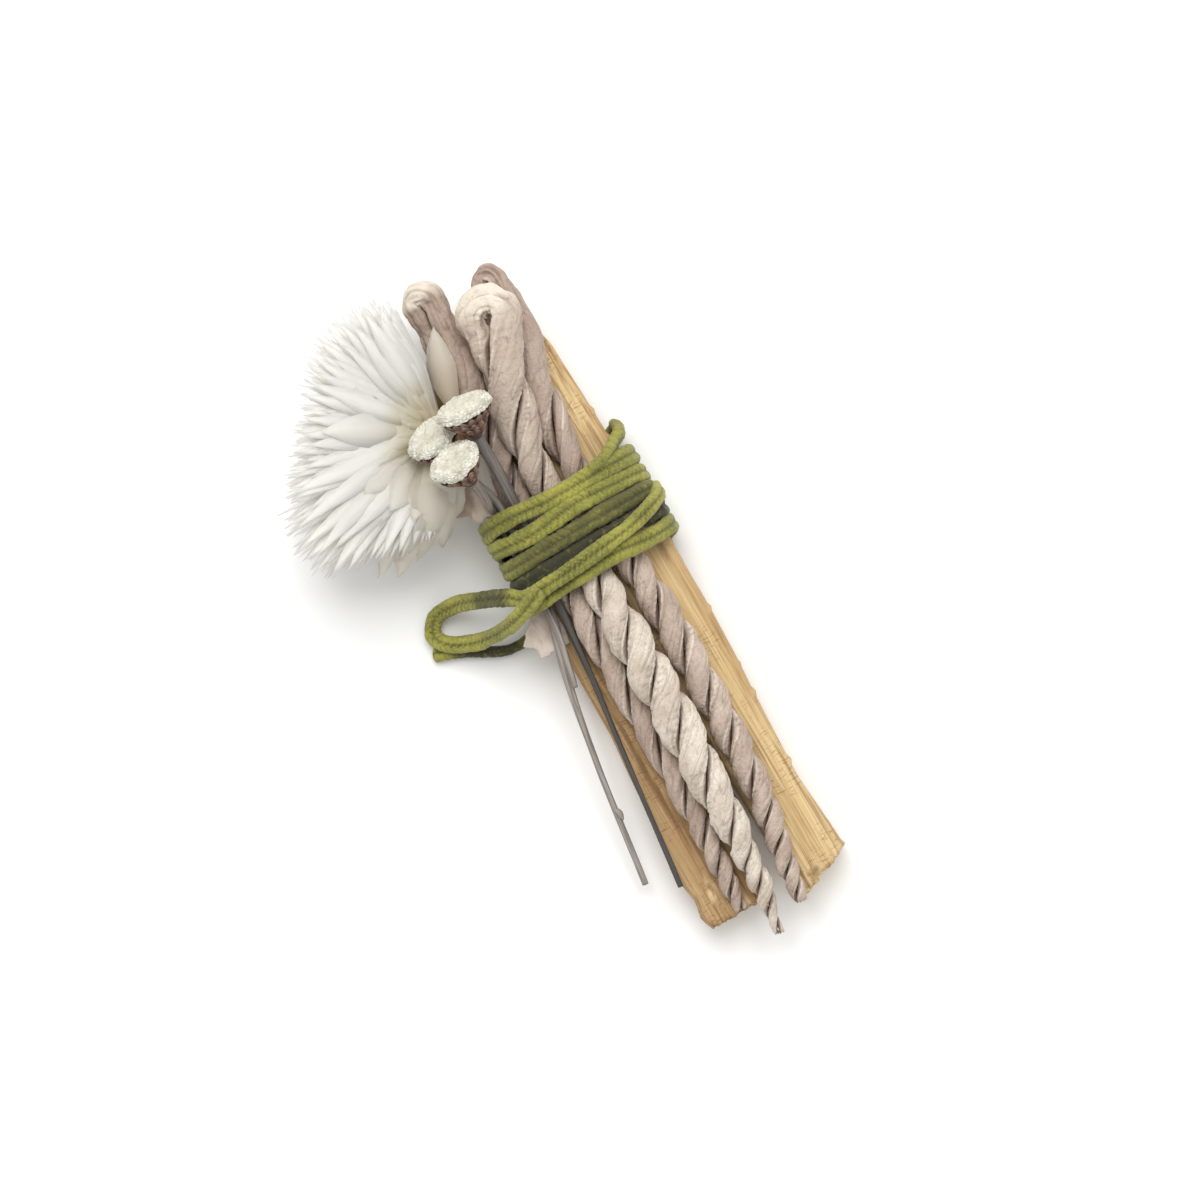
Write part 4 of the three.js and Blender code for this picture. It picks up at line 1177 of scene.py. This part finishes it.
def makeStalk(name, stalk, material, seed):
    rows, runs = smoothLine(stalk["route"], 0.45)
    line, radius = rows[:, :3], rows[:, 3]
    ahead = unit(np.gradient(line, axis=0))
    side = unit(np.cross(ahead, np.array([0.0, 0.0, 1.0])))
    front = np.cross(side, ahead)
    angle = 2 * math.pi * np.arange(18) / 18
    twist = 0.35 * lumps(track(runs), 20.0, seed)[:, None]
    ribs = 1 + stalk["flute"] * (np.abs(np.cos(2.5 * (angle[None] + twist))) - 0.6)
    place = np.stack([runs[:, None] + 0 * ribs, 2 * np.cos(angle) + 0 * ribs,
                      2 * np.sin(angle) + 0 * ribs], axis=-1)
    ribs += 0.12 * lumps(place, np.array([6.0, 0.8, 0.8]), seed)
    size = radius[:, None] * ribs
    rings = line[:, None] + (size * np.cos(angle))[..., None] * side[:, None]
    rings = rings + (size * np.sin(angle))[..., None] * front[:, None]
    dark = np.interp(runs, *np.array(stalk["dark"]).T)
    piece = skin(name.title().replace("_", ""), rings, runs, {"dark": dark})
    if "flake" in stalk:  # a scale of bark that stands off
        flakeLine, _ = smoothLine(stalk["flake"]["line"], 0.35)
        lean = np.tile([0.4, 0, 1.0], (len(flakeLine), 1))
        blade = bractGrid(flakeLine, lean, stalk["flake"]["width"], 0.2, 2.5)
        addBlades(piece, blade[None], {"dark": np.zeros(blade[..., 0].size)}, 0.15)
    settle(piece, "stalk", material, name)


dryStalk = stalkLook()
for seed, (name, stalk) in enumerate(stalks.items()):
    makeStalk(name, stalk, dryStalk, 51 + seed)
print("stalks made")


# torn dry leaves caught under the tie

leaves = {
    "leaf_upper": {
        "left": [(20.6, -0.6), (22.2, -1.2), (23.2, -3.4), (25.4, -4.6), (26.4, -1.9)],  # y and x
        "right": [(20.6, 2.0), (24, 1.8), (26.4, 1.2)],
        "lift": [(20.6, 14.4), (26.4, 14.9)],  # y and z
        "tones": ((166, 148, 132), (204, 191, 174)),
        "seed": 61,
    },
    "leaf_lower": {
        "left": [(-3.4, -2.6), (-2.0, -2.7), (-1.0, -3.0), (-0.2, -4.2), (1.0, -3.4), (2.2, -2.2),
                 (3.6, -0.4)],
        "right": [(-3.4, 2.6), (-1, 3.0), (3.6, 3.0)],
        "lift": [(-3.4, 10.0), (3.6, 10.7)],
        "tones": ((206, 190, 177), (232, 221, 209)),
        "seed": 62,
    },
}


def leafLook(name, leaf):
    look = Look(name)
    cloud = look.step(look.noise(1.6, (1, 0.4, 1)), 0.35, 0.65)
    veins = look.noise(0.35, (1, 0.08, 1), 3.0)
    colour = look.blend(cloud, tone(*leaf["tones"][0]), tone(*leaf["tones"][1]))
    colour = look.blend(look.step(veins, 0.5, 0.75) * 0.4, colour, tone(148, 120, 104))
    through = {"colour": tone(226, 206, 190), "share": 0.25}
    return look.finish({"Base Color": colour, "Roughness": 0.7}, veins, 0.1, through)


def makeLeaf(name, leaf):
    bpy.ops.object.select_all(action="DESELECT")
    bpy.ops.mesh.primitive_grid_add(x_subdivisions=28, y_subdivisions=36, size=1)
    piece = bpy.context.object
    piece.name = name.title().replace("_", "")
    mesh = piece.data
    share = pointsOf(mesh) + 0.5
    low, high = leaf["lift"][0][0], leaf["lift"][-1][0]
    y = low + (high - low) * share[:, 1]
    left, right = [np.interp(y, *np.array(leaf[k]).T) for k in ("left", "right")]
    ragged = 0.3 * lumps(track(y), 0.6, leaf["seed"]) * (1 - share[:, 0])
    x = left + (right - left) * share[:, 0] + ragged
    nearEnds = np.abs(2 * share[:, 1] - 1) ** 6
    y = y + 0.35 * lumps(track(x), 0.7, leaf["seed"] + 1) * nearEnds
    z = np.interp(y, *np.array(leaf["lift"]).T)
    place = np.stack([x, y, z], axis=-1)
    place[:, 2] += 0.35 * lumps(place, 2.5, leaf["seed"] + 2) + 0.12 * lumps(place, 0.8, leaf["seed"] + 3)
    movePoints(mesh, place)
    thicken(piece, 0.15)
    settle(piece, "leaf", leafLook(name.title().replace("_", "") + "Skin", leaf), name)


for name, leaf in leaves.items():
    makeLeaf(name, leaf)
print("leaves made")


# floor and light

studio = {
    "floor": 3.0,  # metres
    "key": 8.0,
    "keyAt": (0.18, 0.46, 0.92),
    "keySize": 0.7,
    "world": 0.78,
    "worldTint": (1.0, 0.995, 0.985, 1),
}


def floorLook():
    look = Look("paleFloor")
    colour = look.blend(look.noise(60.0), tone(243, 243, 242), tone(246, 246, 245))
    return look.finish({"Base Color": colour, "Roughness": 0.9})


bpy.ops.object.select_all(action="DESELECT")
bpy.ops.mesh.primitive_plane_add(size=studio["floor"])
floor = bpy.context.object
floor.name = "floor"
floor.data.materials.append(floorLook())

bpy.ops.object.light_add(type="AREA", location=studio["keyAt"])
key = bpy.context.object
key.data.energy = studio["key"]
key.data.size = studio["keySize"]
key.rotation_euler = (-key.location).to_track_quat("-Z", "Y").to_euler()

world = bpy.data.worlds.new("softRoom")
world.use_nodes = True
background = world.node_tree.nodes["Background"]
background.inputs["Color"].default_value = studio["worldTint"]
background.inputs["Strength"].default_value = studio["world"]
bpy.context.scene.world = world
bpy.context.scene.view_settings.view_transform = "Standard"

print("scene made")
